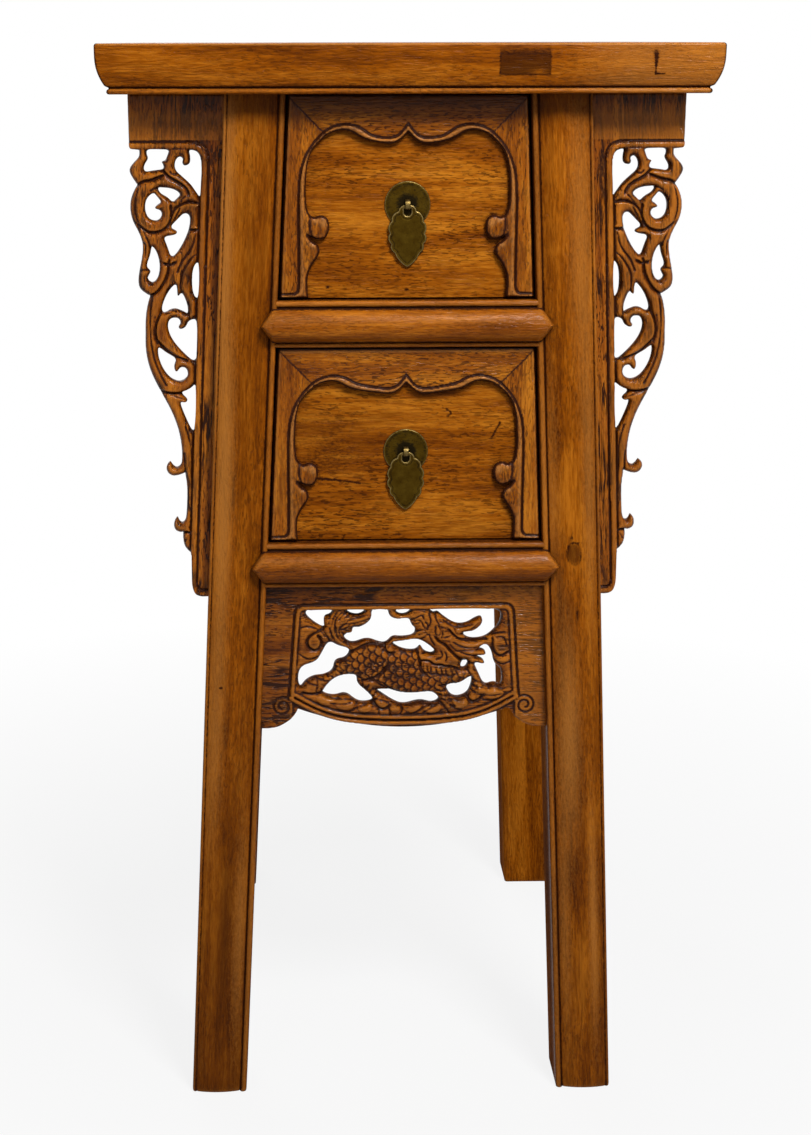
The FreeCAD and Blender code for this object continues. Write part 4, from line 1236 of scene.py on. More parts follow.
@dataclass(frozen=True)
class FrontRail:
    """A rail between the front legs: a bead above and below a half-round nose with pointed ends."""
    name: str
    top: float
    upper_bead: float = 6.0
    nose: float = 26.0
    lower_bead: float = 4.0
    deep: float = 33.0
    reach: float = 9.0
    corner: float = 3.0
    point: float = 12.5
    blunt: float = 5.0
    housed: float = 1.0
    nose_back: float = 1.6

    def bar(self) -> Piece:
        """The bar: a section with two beads, each between quirks, swept from leg to leg.

        Returns:
            The bar as a closed skin.
        """
        height = self.upper_bead + self.nose + self.lower_bead
        angle = np.linspace(0.3, math.pi - 0.3, 9)
        bulge = np.sin(angle)
        quirks = np.abs(np.cos(angle)) ** 3
        drop, depth, dirt, wear = profile(
            (2.6 - 2.4 * np.cos(angle), 0.6 + 1.9 * (1 - bulge), 0.4 * quirks, 0.55 * bulge),
            ([5.4, 6.0], [3.0, 2.6], 1.0, 0.0),
            ([8, 18, 28], 1.0, 1.0, 0.0),
            ([height - 4.3, height - 3.7], [2.6, 3.0], 1.0, 0.0),
            (height - 1.8 - 1.7 * np.cos(angle), 0.8 + 1.6 * (1 - bulge), 0.45 * quirks, 0.45 * bulge),
            ([height, height, 0, 0], [4.0, self.deep, self.deep, 4.0], 0.6, 0.0))
        drop = self.top + drop
        x = np.linspace(-1, 1, 41)[:, None] * (FRONT.inner_line(drop) + self.housed)
        grain = np.stack(np.broadcast_arrays(x, drop, depth), -1)
        return Piece.through("bar", FRONT.place(x, depth, drop), grain, dirt, wear)

    def nosing(self) -> Piece:
        """The nose: a circle's arc over the chord, run out to a point at each end and blunted there.

        Returns:
            The nose as a closed skin.
        """
        middle = self.nose / 2
        radius = (middle ** 2 + self.reach ** 2) / (2 * self.reach)
        down = middle - middle * np.cos(np.linspace(0.0, math.pi, 33))
        between = float(FRONT.inner_line(self.top + self.upper_bead + middle))
        end = between + self.corner + (self.point - self.corner) * (1 - np.abs(down - middle) / middle)
        near = np.concatenate([[0, 0.4, 0.9, 1.6, 2.5, 3.6, 5.0, 7.0, 10.0, 16.0],
                               np.linspace(30, between, 14)[:-1]])
        share = np.concatenate([near / between - 1, [0], 1 - near[::-1] / between])[:, None]
        x = share * end
        left = (1 - np.abs(share)) * end
        rise = np.sqrt(radius ** 2 - (down - middle) ** 2) - (radius - self.reach)
        rise = 0.3 + (rise - 0.3).clip(0) * rounded(left / self.blunt)
        drop = np.broadcast_to(self.top + self.upper_bead + down, x.shape)
        rear = FRONT.place(x, self.nose_back, drop)[:, ::-1]
        rings = np.concatenate([FRONT.place(x, -rise, drop), rear], 1)
        lined = np.stack([x, drop, -rise], -1)
        edge = np.minimum(down, self.nose - down)
        # Darker where the nose meets the bar and the legs, grimy and partly painted contact shade.
        dirt = 0.8 * fading(edge, 1.3) + 0.5 * fading(left, 1.5)
        # Lighter over the nose's upper half, smoothed and partly a painted highlight.
        wear = 0.15 + 0.3 * fading(down - 7.0, 5.0) + 0.2 * fading(left - 3, 2.0)
        return Piece.through("nose", rings, np.concatenate([lined, lined[:, ::-1]], 1),
                             np.concatenate([dirt, np.ones(x.shape)], 1),
                             np.concatenate([wear, np.zeros(x.shape)], 1))

    def build(self) -> None:
        """Joins the bar and its nose."""
        piece = joined(f"{self.name}_moulded", [self.bar(), self.nosing()])
        piece.build(RAIL_WOOD, Body.FRAME, Slot.FRAME_WOOD, (self.name,))


@dataclass(frozen=True)
class Spandrel:
    """Carved openwork beside a front leg: a flat head and strip with a bead, and a scrolling vine.

    Lines are drawn out from the leg and down from the top. OVER lists creases whose left hand lies on top.
    """
    side: Side
    inset: float = 12.0
    thick: float = 9.0
    pitch: float = 0.6
    field: float = 8.0
    bead: float = 2.6
    vine_foot: float = 4.6
    vine_rise: float = 4.3
    vine_round: float = 4.6
    incised: float = 1.6
    groove: float = 1.1
    arris: float = 1.4
    head: float = 34.0

    HEAD_CORNERS = [(-9, 383.8), (-9, -9), (80, -9), (80, 34.9), (73, 34.9)]
    BEAD = [(73, 37.9), (40, 37.9), (27, 37.9), (20.5, 38.4), (15.4, 41.6), (13.4, 47.5), (13.2, 56),
            (13, 200), (12.7, 372), (12.5, 386.6), (3, 386.9), (-5, 387)]
    GROOVE = [(73, 34.9), (40, 34.9), (26, 34.9), (18.3, 35.4), (12.7, 39), (10.5, 45.5), (10.3, 55),
              (10.1, 200), (9.8, 370), (9.6, 383.4), (2, 383.7), (-5, 383.8)]
    OVER = [
        [(24.5, 72.5), (26, 69), (31, 65), (36, 62.5), (41, 59.5), (44, 56)],
        [(45, 59.5), (50, 61.5), (55, 63), (60, 63.5), (63.8, 66.3)],
        [(38.5, 83), (37.3, 89), (39, 95.5), (43, 100), (50, 102), (56.5, 100.8), (61.5, 96)],
        [(37.8, 93), (36.5, 88), (33, 83), (27, 80.2), (21, 79.8), (16.5, 81)],
        [(16, 99.5), (19, 100.3), (23.5, 99.6)], [(34.5, 124.5), (37.5, 127.3), (41, 125.2)],
        [(38.8, 124), (39, 131), (41, 138), (45, 144.5), (49, 148.3), (52.3, 150)],
        [(45, 186), (46.9, 181), (47.2, 175), (45.8, 168), (42.4, 162)],
        [(22.5, 199.5), (27, 197.8), (33, 195.3), (40, 190), (46.5, 183)],
        [(26, 224.6), (34, 225.8), (41, 223.2)], [(16, 337), (18.5, 335), (22, 336.5)],
        [(15.9, 122), (15.9, 100), (16, 76)], [(15.9, 168), (15.9, 160), (15.9, 153)],
        [(15.6, 219), (15.7, 210), (15.8, 200)], [(15, 354), (15.2, 300), (15.6, 257)],
    ]
    INCISED = [
        [(63, 69), (65.4, 78), (64.8, 88), (62, 95), (58, 102), (54.5, 108), (53, 113)],
        [(27, 75), (31, 79), (35.5, 85.5)], [(46, 69), (50, 68.3), (53.5, 71)],
        [(18.5, 103), (19.5, 111), (24.5, 119), (29.5, 125), (31.5, 132)],
        [(17, 118), (21, 121), (25, 127), (28.5, 133), (29, 140), (28.4, 148)],
        [(53.5, 130.5), (57, 129.6), (61, 131.5)], [(48, 166), (49.4, 174), (48.4, 181), (46, 188)],
        [(22.2, 231), (28, 229), (33, 226.6)], [(21.3, 169), (22.5, 163.5)],
        [(22, 252), (18.5, 262), (17, 272), (17, 287)], [(22.7, 273), (21.8, 282), (21.4, 290)],
        [(17, 339), (19.5, 343.5)], [(33, 57.5), (37.5, 60.5), (39, 57)],
        [(50, 150), (51.5, 160), (51.5, 176), (50, 190), (46, 205), (38, 219)],
        [(40, 134), (43, 142), (47, 147)], [(31, 84), (34.5, 92), (38, 97.5)],
        [(62, 113), (58, 108), (56, 113), (56.6, 121)],
    ]

    def place(self, across: Array, depth: Array, drop: Array) -> Array:
        """Points from a distance out from the leg's outer edge, a depth and a drop."""
        return FRONT.place(self.side.value * (FRONT.leg_line(drop) + across), depth, drop)

    def build(self) -> None:
        """Cuts the board along the edge of the frame's node and carves its face."""
        edge = face_edge("right_spandrel", self.inset)
        edge[..., 0] -= FRONT.leg_line(edge[..., 1])
        grid, _, signed = Relief.about(edge, GRID_MARGIN, self.pitch, self.vine_round + 1)
        groove = steered(self.GROOVE)
        rim = grid.distance(curves([self.BEAD]), self.bead)
        cut = 1 - grid.distance(sides_of(groove), self.groove) / self.groove
        board = grid.inside(sides_of(np.vstack([groove, self.HEAD_CORNERS])))
        vine = self.vine_foot + self.vine_rise * rounded(-signed / self.vine_round)
        vine = vine - grid.cuts(self.OVER, self.INCISED, self.incised)
        beaded = self.field - 0.9 + 1.9 * np.sqrt(1 - (rim / self.bead).clip(0, 1) ** 2)
        flat = self.field - self.arris * (1 - rounded(-signed / self.arris)) - 1.3 * cut ** 0.7
        height = np.where(board, flat, np.where(rim < self.bead, beaded, vine.clip(1.2)))
        head = grid.drop < self.head
        # The head is a little darker, painted shade under the top; the groove and the vine are grimy.
        soil_and_shade = 0.7 * cut + np.where(board, 0.05, 0.12) + 0.08 * head
        # Painted light: the right spandrel is lighter, on the lamp's side, and so is the head's lower part,
        # where light reaches under the top.
        rubbed = 0.2 if self.side is Side.RIGHT else 0.0
        polish_and_highlight = 0.5 * head * ((grid.drop - 6) / 10).clip(0, 1) + rubbed
        # Painted shadow of the overhanging top.
        stain = 0.45 * fading(grid.drop.clip(0), 8.0)
        name = f"{self.side.name.lower()}_spandrel"
        piece = grid.board(f"{name}_carved", signed, height, self.inset + self.thick, Along.HEIGHT,
                           self.place, soil_and_shade, polish_and_highlight, stain, EDGE_CLEAN)
        piece.build(CARVED_WOOD, Body.FRAME, Slot.CARVED_WOOD, (name,), CARVED_SHARP)


@dataclass(frozen=True)
class Apron:
    """Carved openwork apron under the lower drawer: a running scaled beast among clouds and rocks.

    Lines are drawn across from the middle and down from the lower rail. OVER lists creases whose left hand
    lies on top. The opening is framed by a bead, the foot by two.
    """
    top: float = 379.5
    inset: float = 8.0
    thick: float = 10.0
    pitch: float = 0.7
    field: float = 8.6
    carving_foot: float = 4.4
    carving_rise: float = 5.2
    carving_round: float = 7.5
    bead: float = 1.9
    column: float = 4.9
    row: float = 8.0
    turn: float = 0.14
    rock_rise: float = 2.2
    incised: float = 1.45
    groove: float = 1.0
    arris: float = 1.0
    band_half: float = 91.0
    bead_reach: float = 9.0

    BELOW_FOOT = [(92, 130), (-92, 130)]
    VOLUTE_MIDDLE = (98.6, 102.2)
    FRAME_BEAD = mirrored([(-90.6, 95), (-90, 86), (-86.2, 33), (-85, 19.3), (-74, 19.3), (0, 19.3)])
    FRAME_GROOVE = mirrored([(-94, 95), (-92.8, 86), (-88.9, 32), (-87.6, 16.6), (-74, 16.6), (0, 16.6)])
    FOOT_BEADS = [mirrored([(-90, 91), (-76, 99.5), (-60, 106.6), (-40, 110.8), (0, 112.4)]),
                  mirrored([(-92, 95), (-78, 103.5), (-60, 111.4), (-40, 115.6), (0, 117.4)])]
    OVER = [
        [(-43.5, 55.5), (-39, 53.8), (-33, 50.3), (-27, 49), (-24, 49.5), (-20, 50.8), (-16, 51.3)],
        [(-15.5, 49), (-15.6, 54), (-12, 57.3), (-8, 56.5)],
        [(-34, 79.8), (-30, 79), (-24, 77), (-18.5, 73.5), (-15, 68)],
        [(-82, 90), (-76, 91.2), (-69, 90.3), (-65, 89.8)],
        [(10.5, 53), (11.5, 59), (13.5, 65), (13.5, 70), (17, 74)],
        [(46.5, 65), (41, 60.5), (36.5, 55.5), (33, 51), (28, 48.5), (25, 45)],
        [(13.5, 63.5), (20, 63.2), (24, 67), (30, 67), (34, 68.5), (38, 68), (43, 70.5)],
        [(-66, 38), (-71, 40), (-76.5, 43.5), (-78.5, 48.5), (-75.5, 53), (-71, 54.5), (-67.5, 51.5),
         (-67, 46), (-70, 42.5)],
        [(72, 46.5), (71.5, 52), (74, 58.5), (79, 60.5), (83, 57)],
        [(36.5, 38), (40.5, 43), (46, 46.3), (55, 47), (66, 46.3)],
        [(-24.5, 98), (-21, 103.5), (-14.5, 104.5), (-11.5, 101)],
        [(51.5, 93), (53, 97.5), (58, 99), (62.5, 95)],
    ]
    INCISED = [
        [(-42, 53), (-50, 48.5), (-55, 41), (-56.5, 34), (-54.5, 27)],
        [(-44, 51), (-51, 45), (-53, 38), (-50.5, 33.5), (-46, 32)],
        [(-47.5, 44), (-50.5, 40), (-49.5, 36.5), (-45, 35.5)], [(-58.5, 34), (-58, 28), (-54, 23)],
        [(-60.5, 33), (-61, 27), (-58.5, 23.5)], [(-56, 31), (-54, 26.5), (-50, 23)],
        [(-46, 30), (-38, 27.8), (-29, 25.8)], [(-45, 33), (-37, 31.8), (-28, 28.5)],
        [(-52, 36.5), (-48, 38.5), (-43.5, 38.8)], [(-62.5, 30), (-62.5, 26), (-61, 23)],
        [(-52.5, 29), (-50, 25.5), (-46.5, 23.5)], [(-48.5, 28.5), (-45, 25.5), (-40.5, 23.8)],
        [(-42, 27), (-37, 25), (-32, 23.6)], [(-57, 45), (-59.5, 40), (-60, 36)],
        [(-53.5, 44), (-55.5, 40), (-55, 35)],
        [(-83, 35.5), (-79, 34), (-73, 35.5), (-67, 38.5), (-63.5, 43)],
        [(-84, 58), (-79, 61.8), (-74, 62.3), (-70, 60)], [(-66, 36.5), (-62.5, 42), (-60, 46.5)],
        [(-8, 49.3), (-12, 50.3), (-13.2, 53.5)],
        [(-38, 76.5), (-33, 79.5), (-28, 80.5), (-22, 81.5), (-16, 86), (-11, 89)],
        [(-27, 79.8), (-20, 80.2), (-15, 83.5), (-10, 88), (-3, 90)],
        [(-57.5, 70.5), (-53, 71.5), (-50, 74.5)], [(-62, 76.5), (-58.5, 75.8), (-56.5, 78.5)],
        [(-70.5, 79), (-69.5, 84), (-71, 89)], [(-79.5, 81.3), (-74, 83.8), (-70, 84)],
        [(-72, 77.5), (-68, 80), (-62, 80.5)], [(-67, 92), (-58, 96.3), (-50, 95.2), (-41, 96.8)],
        [(-60, 99), (-52, 101), (-43, 98.5)], [(-45, 107), (-38, 102.5), (-30, 100.8)],
        [(-33.5, 82), (-33.5, 86)], [(-28.5, 84), (-31, 88.5)], [(-25, 87), (-28.5, 91.5)],
        [(-22, 90.5), (-26, 94.5)], [(-20, 94), (-24.5, 97.5)], [(-22, 96.8), (-17, 97), (-12.5, 99.8)],
        [(-20.5, 103), (-20, 110)], [(-12, 103), (-11, 110)],
        [(-9.5, 99.5), (-4, 101.5), (0, 104.8), (-3, 109)], [(8, 108.5), (14, 104.5), (21, 101)],
        [(16, 108), (20, 105), (25, 102)], [(29, 99), (33, 102), (38, 110)],
        [(28, 84.5), (31.5, 86), (34, 84.5)], [(27, 88.5), (30.5, 90.8), (35, 88.5)],
        [(29, 93), (33, 95), (37.5, 93)], [(31.5, 96.8), (35, 98.3), (39.5, 97)],
        [(38, 101.5), (41, 105), (46.5, 105.2)], [(51, 72), (54.5, 75.5), (55, 79)],
        [(55.5, 79.5), (59.5, 82)], [(55.5, 85), (60, 86.5), (64, 86.5)], [(53, 88), (58, 91)],
        [(62, 93), (70, 94.3), (79, 92)], [(60, 96.5), (67, 98.3), (75, 97)], [(15.5, 66), (15.2, 71)],
        [(18.5, 66), (19, 72)], [(21.5, 68), (22, 73.5)], [(25.5, 69.5), (27, 76)], [(30, 70), (31, 76)],
        [(33.5, 71), (34.5, 76.5)], [(37.5, 70.5), (39.5, 75)], [(41.5, 71.5), (43, 75)],
        [(14, 71), (17, 75), (20, 73), (23, 76), (26, 74), (30, 77.5), (33, 75.5), (38, 78.5), (41, 75.5)],
        [(12, 58.5), (18, 57.5), (24, 59)], [(29.5, 56), (31.8, 59), (29.5, 62), (26, 63)],
        [(33, 57), (35.6, 60.5), (33.5, 64.5)], [(4.5, 30), (8, 29), (12, 26.3), (15, 25.5), (15.5, 29)],
        [(7.5, 31), (12.5, 30)], [(6, 33.5), (11, 33.5), (13.5, 30.5)],
        [(14, 31.5), (15.5, 35.5), (18, 37.5), (19.6, 34), (17, 31.5)],
        [(10, 39.5), (14, 37.5), (17, 38.5)], [(11.5, 42.3), (16, 40), (18.5, 41)],
        [(20, 25), (21.5, 30), (20.5, 34.5), (18, 38)], [(25, 26), (25.5, 31), (28, 33.5)],
        [(25.5, 35), (24.5, 40), (27, 44), (29.6, 41), (29, 36.5), (27, 34.5)],
        [(30, 35.5), (31.7, 40.5), (30, 45.5)], [(28.5, 31), (31, 32.5), (35, 31.5)],
        [(28, 35), (33, 36.5), (37, 39.8)], [(33, 39.3), (37, 41)], [(32, 44.8), (37, 43.5)],
        [(30.5, 47.5), (36, 48)], [(31, 30), (36, 34), (41, 36.5), (48, 36), (55, 34.5)],
        [(54, 38.5), (60.5, 32.5)], [(40.5, 37), (41, 41), (44.5, 43), (48, 41.3)],
        [(42, 45.3), (50, 49), (58, 49.3), (66, 48.3)], [(40, 49), (46, 52.5), (53, 54), (58.5, 53.3)],
        [(37, 50.5), (41, 56.3), (46, 55.8), (60, 55.5)], [(46, 57.3), (54, 60.3), (61, 61)],
        [(43.5, 61), (50, 65.3), (57, 67)], [(20, 41.5), (21, 46), (24.5, 51)],
        [(14, 45.8), (17, 43.5), (19.5, 41.6)], [(74, 45), (78.5, 43.5), (82, 46.5), (82.8, 52)],
        [(71.5, 62), (76, 66.5), (81, 67.5), (85, 65.3)], [(69.5, 43.2), (74.5, 41), (81, 40.3)],
    ]
    SCALED = [(-56, 64), (-46, 60), (-38, 55), (-30, 51), (-22, 51.5), (-15, 54), (-12, 58), (-5, 55),
              (5, 55), (11, 58), (13, 66), (17, 74), (25, 77.5), (34, 79), (42, 76.5), (49, 72), (52, 78),
              (45, 84.5), (35, 84), (28, 88), (18, 91), (4, 92), (-6, 90.5), (-13, 86), (-20, 80.5),
              (-30, 78.5), (-38, 75.5), (-48, 76), (-57, 74)]
    SCALED_LEGS = [
        [(-48, 70), (-58, 73), (-68, 79), (-66, 83), (-57, 79), (-48, 76)],
        [(-37, 79), (-28, 87), (-23, 95), (-16, 99), (-20, 101), (-27, 96), (-33, 88), (-39, 82)],
        [(50, 71), (57, 77), (61, 87), (59, 97), (55, 96), (56, 86), (51, 78)],
        [(27, 85), (34, 84), (38, 97), (43, 103), (38, 105), (31, 96)],
    ]
    # Middle, half width and half height of each rock.
    ROCKS = ((-62, 95, 9, 6), (-47.7, 98.7, 8.9, 6.3), (-31.9, 102.2, 6.2, 5.2), (-7.2, 102, 5.2, 5.4),
             (6.6, 101.6, 8.4, 5.8), (23, 103, 7.6, 5.2), (43.2, 99.6, 9.4, 5.6), (62.9, 88, 6, 4.4),
             (73, 92, 8, 5))

    def rocks(self, across: Array, drop: Array) -> Array:
        """Height of the rocks: the highest of half domes over ellipses, the root of what is left of 1."""
        x, y, wide, tall = np.array(self.ROCKS).T[:, :, None, None]
        reach = ((across - x) / wide) ** 2 + ((drop - y) / tall) ** 2
        return self.rock_rise * np.sqrt((1 - reach).clip(0)).max(0)

    def place(self, across: Array, depth: Array, drop: Array) -> Array:
        """Points from across, a depth and a drop below the lower rail."""
        return FRONT.place(across, depth, self.top + drop)

    def scales(self, across: Array, drop: Array, size: float, rise: float) -> tuple[Array, Array]:
        """Overlapping scales, each a tilted disc on a staggered lattice, its free edge to the left and down.

        A node takes the scale furthest to the right whose disc holds it; the disc rises towards its free
        edge, and a painted shadow line lies on the scales beyond that edge.

        Args:
            across: across of each node.
            drop: drop of each node.
            size: size of these scales against those of the flank.
            rise: height of a scale's free edge over its root.

        Returns:
            The height and the painted shadow line at each node.
        """
        column, row = self.column * size, self.row * size
        along = across * math.cos(self.turn) - drop * math.sin(self.turn)
        over = across * math.sin(self.turn) + drop * math.cos(self.turn)
        height = np.zeros(across.shape)
        dark = np.zeros(across.shape)
        near = np.floor(along / column)
        for step in (-1, 0, 1, 2, 3):
            number = near + step
            middle = (np.round(over / row - 0.5 * (number % 2)) + 0.5 * (number % 2)) * row
            x = (number * column - along) / (1.35 * column)
            y = (over - middle) / (0.56 * row)
            edge = np.hypot(x, y)
            held = (edge < 1) & (x > -0.9)
            # Painted shadow of the free edge, just beyond it.
            line = (1 - np.abs(edge - 1.05) / (0.09 + 0.09 * x.clip(0))).clip(0)
            line = line * ((x - 0.2) / 0.5).clip(0, 1)
            height = np.where(held, rise * (0.15 + 0.85 * x), height)
            dark = np.where(edge < 0.92, 0, np.maximum(dark, line))
        return height, dark

    def volute(self, side: Side) -> Points:
        """Spiral groove of the foot's end: the radius falls evenly over a turn and a half.

        Args:
            side: end of the foot.

        Returns:
            Steering points of the groove.
        """
        turn = np.linspace(0, 3.1 * math.pi, 26)
        radius = 8.8 - 6.6 * turn / turn[-1]
        x = self.VOLUTE_MIDDLE[0] - radius * np.cos(turn + 0.9)
        y = self.VOLUTE_MIDDLE[1] - radius * np.sin(turn + 0.9)
        return list(zip((side.value * x).tolist(), y.tolist()))

    def build(self) -> None:
        """Cuts the board along the edge of the frame's node and carves its face."""
        edge = face_edge("front_apron", self.inset)
        edge[..., 1] -= self.top
        grid, _, signed = Relief.about(edge, GRID_MARGIN, self.pitch, self.carving_round + 1)
        frame_bead = steered(self.FRAME_BEAD)
        foot = steered(self.FOOT_BEADS[0])
        grooves = curves([self.FRAME_GROOVE] + [self.volute(side) for side in Side])
        beads = grid.distance(curves([self.FRAME_BEAD] + self.FOOT_BEADS), self.bead_reach)
        cut = 1 - grid.distance(grooves, self.groove) / self.groove
        picture = grid.inside(sides_of(np.vstack([frame_bead, foot[::-1], frame_bead[:1]])))
        band = grid.inside(sides_of(np.vstack([foot, self.BELOW_FOOT, foot[:1]])))
        band &= np.abs(grid.across) < self.band_half
        body = grid.inside(curves([self.SCALED], True))
        legs = grid.inside(curves(self.SCALED_LEGS, True)) & ~body
        scale, line = self.scales(grid.across, grid.drop, 1.0, 1.7)
        small, small_scale_shadow = self.scales(grid.across, grid.drop, 0.72, 1.0)
        carved = self.carving_foot + self.carving_rise * np.minimum(
            rounded(-signed / self.carving_round), rounded((beads - 1.0) / 4.0))
        carved += np.where(body, scale - 0.5, 0) + np.where(legs, small - 0.4, 0)
        carved += np.where(body | legs, 0, self.rocks(grid.across, grid.drop))
        carved -= grid.cuts(self.OVER, self.INCISED, self.incised)
        flat = self.field - self.arris * (1 - rounded(-signed / self.arris)) - 1.5 * cut ** 0.7
        rounds = self.field - 1.4 + 2.6 * np.sqrt(1 - (beads / self.bead).clip(0, 1) ** 2)
        height = np.where(picture, carved.clip(1.0), np.where(band, self.field - 1.7, flat))
        height = np.where(beads < self.bead, np.minimum(rounds, self.thick - 0.1), height)
        lines = np.where(body, line, 0) + np.where(legs, 0.8 * small_scale_shadow, 0)
        # Painted shadow under the lower rail; the grooves are grimy; the scales' lines are painted shadows of
        # their free edges.
        soil_and_shade = 0.55 * fading(grid.drop.clip(0), 6.0) + 0.65 * cut + 0.9 * lines + 0.04
        plank = ~(picture | band)
        # Painted light: the plain board is lighter towards the right and darker towards the left.
        bright = ((grid.across + 40) / 120).clip(0, 1)
        stain = 0.25 * plank * (1 - bright)
        polish_and_highlight = 0.5 * (1 - beads / self.bead).clip(0) + 0.55 * plank * bright
        piece = grid.board("front_apron_carved", signed, height, self.inset + self.thick, Along.WIDTH,
                           self.place, soil_and_shade, polish_and_highlight, stain, EDGE_CLEAN)
        piece.build(CARVED_WOOD, Body.FRAME, Slot.CARVED_WOOD, ("front_apron",), CARVED_SHARP)


@dataclass(frozen=True)
class DrawerFront:
    """Face of one drawer: a flat board behind an arch of head and stiles with a bead and curls."""
    name: str
    body: Body
    top: float
    foot: float
    arch_face: float = 3.5
    arch_thick: float = 6.0
    thick: float = 14.0
    marks: tuple[Mark, ...] = ()
    scratches: tuple[Points, ...] = ()
    stains: tuple[Mark, ...] = ()
    top_light: float = 0.0
    head_stain: float = 0.0
    side_gap: float = 1.0
    pitch: float = 0.7
    panel_pitch: float = 0.9
    span: float = 9.0
    scratch: float = 1.2

    GROOVE_MIDDLE = [(0, 20), (4, 25.8), (9, 30.2), (17, 30.8), (26, 29.6)]
    GROOVE_SIDE = [(60, 26.8), (53, 22), (42, 20.2), (31, 23.4), (22, 31), (14.5, 41), (10, 53), (8, 66),
                   (7.8, 90)]
    GROOVE_FOOT = [(7.9, 40), (7.9, 16), (7.4, 3.4), (-1, 2.9), (-12, 2.8)]
    CURL_LINE = [(19, 44.5), (16.6, 50), (16.2, 58), (18, 66.5)]
    CURL_CUT = (1.3, 0.9, 2.4)
    # Painted highlights on each curl: inset, rise and size.
    GLINTS = [(27, 56.8, 3), (21, 58.5, 2), (18.5, 40.6, 2)]
    BEYOND = 21.0
    SEAM_SLACK = 0.05

    @property
    def half(self) -> float:
        """Half the width of the face at its top."""
        return float(FRONT.inner_line(self.top)) - self.side_gap

    def groove(self) -> Array:
        """The quirk beside the arch's bead, from the cusp in the middle round to the right side's foot.

        Returns:
            Points along the quirk, as across and drop.
        """
        points = [(out, self.top + drop) for out, drop in self.GROOVE_MIDDLE]
        points += [(self.half - inset, self.top + drop) for inset, drop in self.GROOVE_SIDE]
        points += [(self.half - inset, self.foot - rise) for inset, rise in self.GROOVE_FOOT]
        return steered(points)

    def arch(self) -> None:
        """Carves the head and the stiles: a plain field outside the quirk, a rounded bead inside it."""
        right = self.groove()
        whole = np.vstack([(right * [-1, 1])[::-1], right[1:]])
        beyond = self.half + self.BEYOND
        closing = [(beyond, self.foot - 2.8), (beyond, self.top - 9), (-beyond, self.top - 9),
                   (-beyond, self.foot - 2.8)]
        curl = [(self.half - inset, self.foot - rise) for inset, rise in self.CURL_LINE]
        for part, node in (("head", "head"), ("right", "right"), ("left", "right")):
            edge = face_edge(f"{self.name}_arch_{node}", self.arch_face)
            grid, _, signed = Relief.about(edge, GRID_MARGIN, self.pitch, self.span)
            below = grid.drop - self.top
            mitre = np.abs(self.half - np.abs(edge[..., 0]) - (edge[..., 1] - self.top)).max(1)
            seam = mitre < self.SEAM_SLACK
            rim = grid.distance(edge[~seam], self.span)
            cut = grid.distance(sides_of(whole), self.span)
            joint = 1 - (grid.distance(edge[seam], 1.0) if seam.any() else np.ones(rim.shape))
            field = grid.inside(sides_of(np.vstack([whole, closing, whole[:1]])))
            span = np.minimum(rim, cut)
            bead = 2.0 + 2.7 * rounded(span / 2.8) + 1.2 * rounded(span / 8.5)
            bead = bead - grid.creases([curl], *self.CURL_CUT)
            flat = 4.2 - 1.8 * (1 - rounded(rim / 1.8)) - 1.3 * (1 - cut / 0.9).clip(0) ** 0.7
            gap = FRONT.inner_line(grid.drop) - self.side_gap - np.abs(grid.across)
            height = np.where(field, flat, bead) - 0.4 * joint ** 2 - 2.4 * (1 - gap / 1.8).clip(0, 1)
            corner = np.abs(grid.across) - self.half + below
            # The quirk and the mitres are grimy; the outer rim and the gaps beside and above the drawer are
            # darkened as painted shade.
            soil_and_shade = 0.9 * (1 - cut / 0.85).clip(0) + 0.5 * joint ** 2 + 0.4 * fading(rim, 0.9)
            # The field is speckled and darker into its upper corners, grimy and partly painted shade; the
            # bead's darker tone is its own.
            soil_and_shade += np.where(field, 0.13 + 0.12 * fading(corner, 14.0), 0.34)
            soil_and_shade += 1.1 * (1 - gap / 2.2).clip(0, 1) + 0.8 * (1 - below / 1.2).clip(0, 1)
            # Painted highlights: the lower drawer's top edge, the crest of the bead and the glints on the
            # curls.
            polish_and_highlight = self.top_light * fading(below - 2.0, 1.0) + 0.38 * ~field * fading(cut - 2.3, 0.9)
            for inset, rise, size in self.GLINTS:
                away = np.hypot(grid.across - self.half + inset, grid.drop - self.foot + rise)
                polish_and_highlight = polish_and_highlight + fading(away, size)
            # Painted shadow of the overhanging top on the upper drawer's head.
            stain = self.head_stain * fading(below - 4.0, 11.0)
            along = Along.WIDTH if part == "head" else Along.HEIGHT
            place = FRONT.mirror if part == "left" else FRONT.place
            name = f"{self.name}_arch_{part}"
            piece = grid.board(f"{name}_carved", signed, height, self.arch_face + self.arch_thick, along,
                               place, soil_and_shade, polish_and_highlight, stain)
            piece.build(ARCH_WOOD, self.body, Slot.PANEL_WOOD, (name,), CARVED_SHARP)

    def panel(self) -> None:
        """The flat board, darker along the arch as painted shadow of it, with its own marks, stains and
        scratches.
        """
        face = self.arch_face + self.arch_thick
        half = self.half
        foot_half = float(FRONT.inner_line(self.foot)) - self.side_gap
        corners = np.array([(-half, self.top), (half, self.top), (foot_half, self.foot),
                            (-foot_half, self.foot), (-half, self.top)], float)
        grid, _, signed = Relief.about(sides_of(corners), 2 * GRID_MARGIN, self.panel_pitch, 6.0)
        arch = np.concatenate([face_edge(f"{self.name}_arch_{part}", self.arch_face)
                               for part in ("head", "right", "left")])
        rim = grid.distance(arch, 14.0)
        # Painted shadow along the arch, deeper beside the right stile, away from the light.
        lee = np.where(grid.across > 0, 1.0, 0.6)
        soil_and_shade = lee * (0.40 * fading(rim, 1.6) + 0.14 * fading(rim, 7.0))
        soil_and_shade = soil_and_shade + blots(grid.across, grid.drop, self.marks)
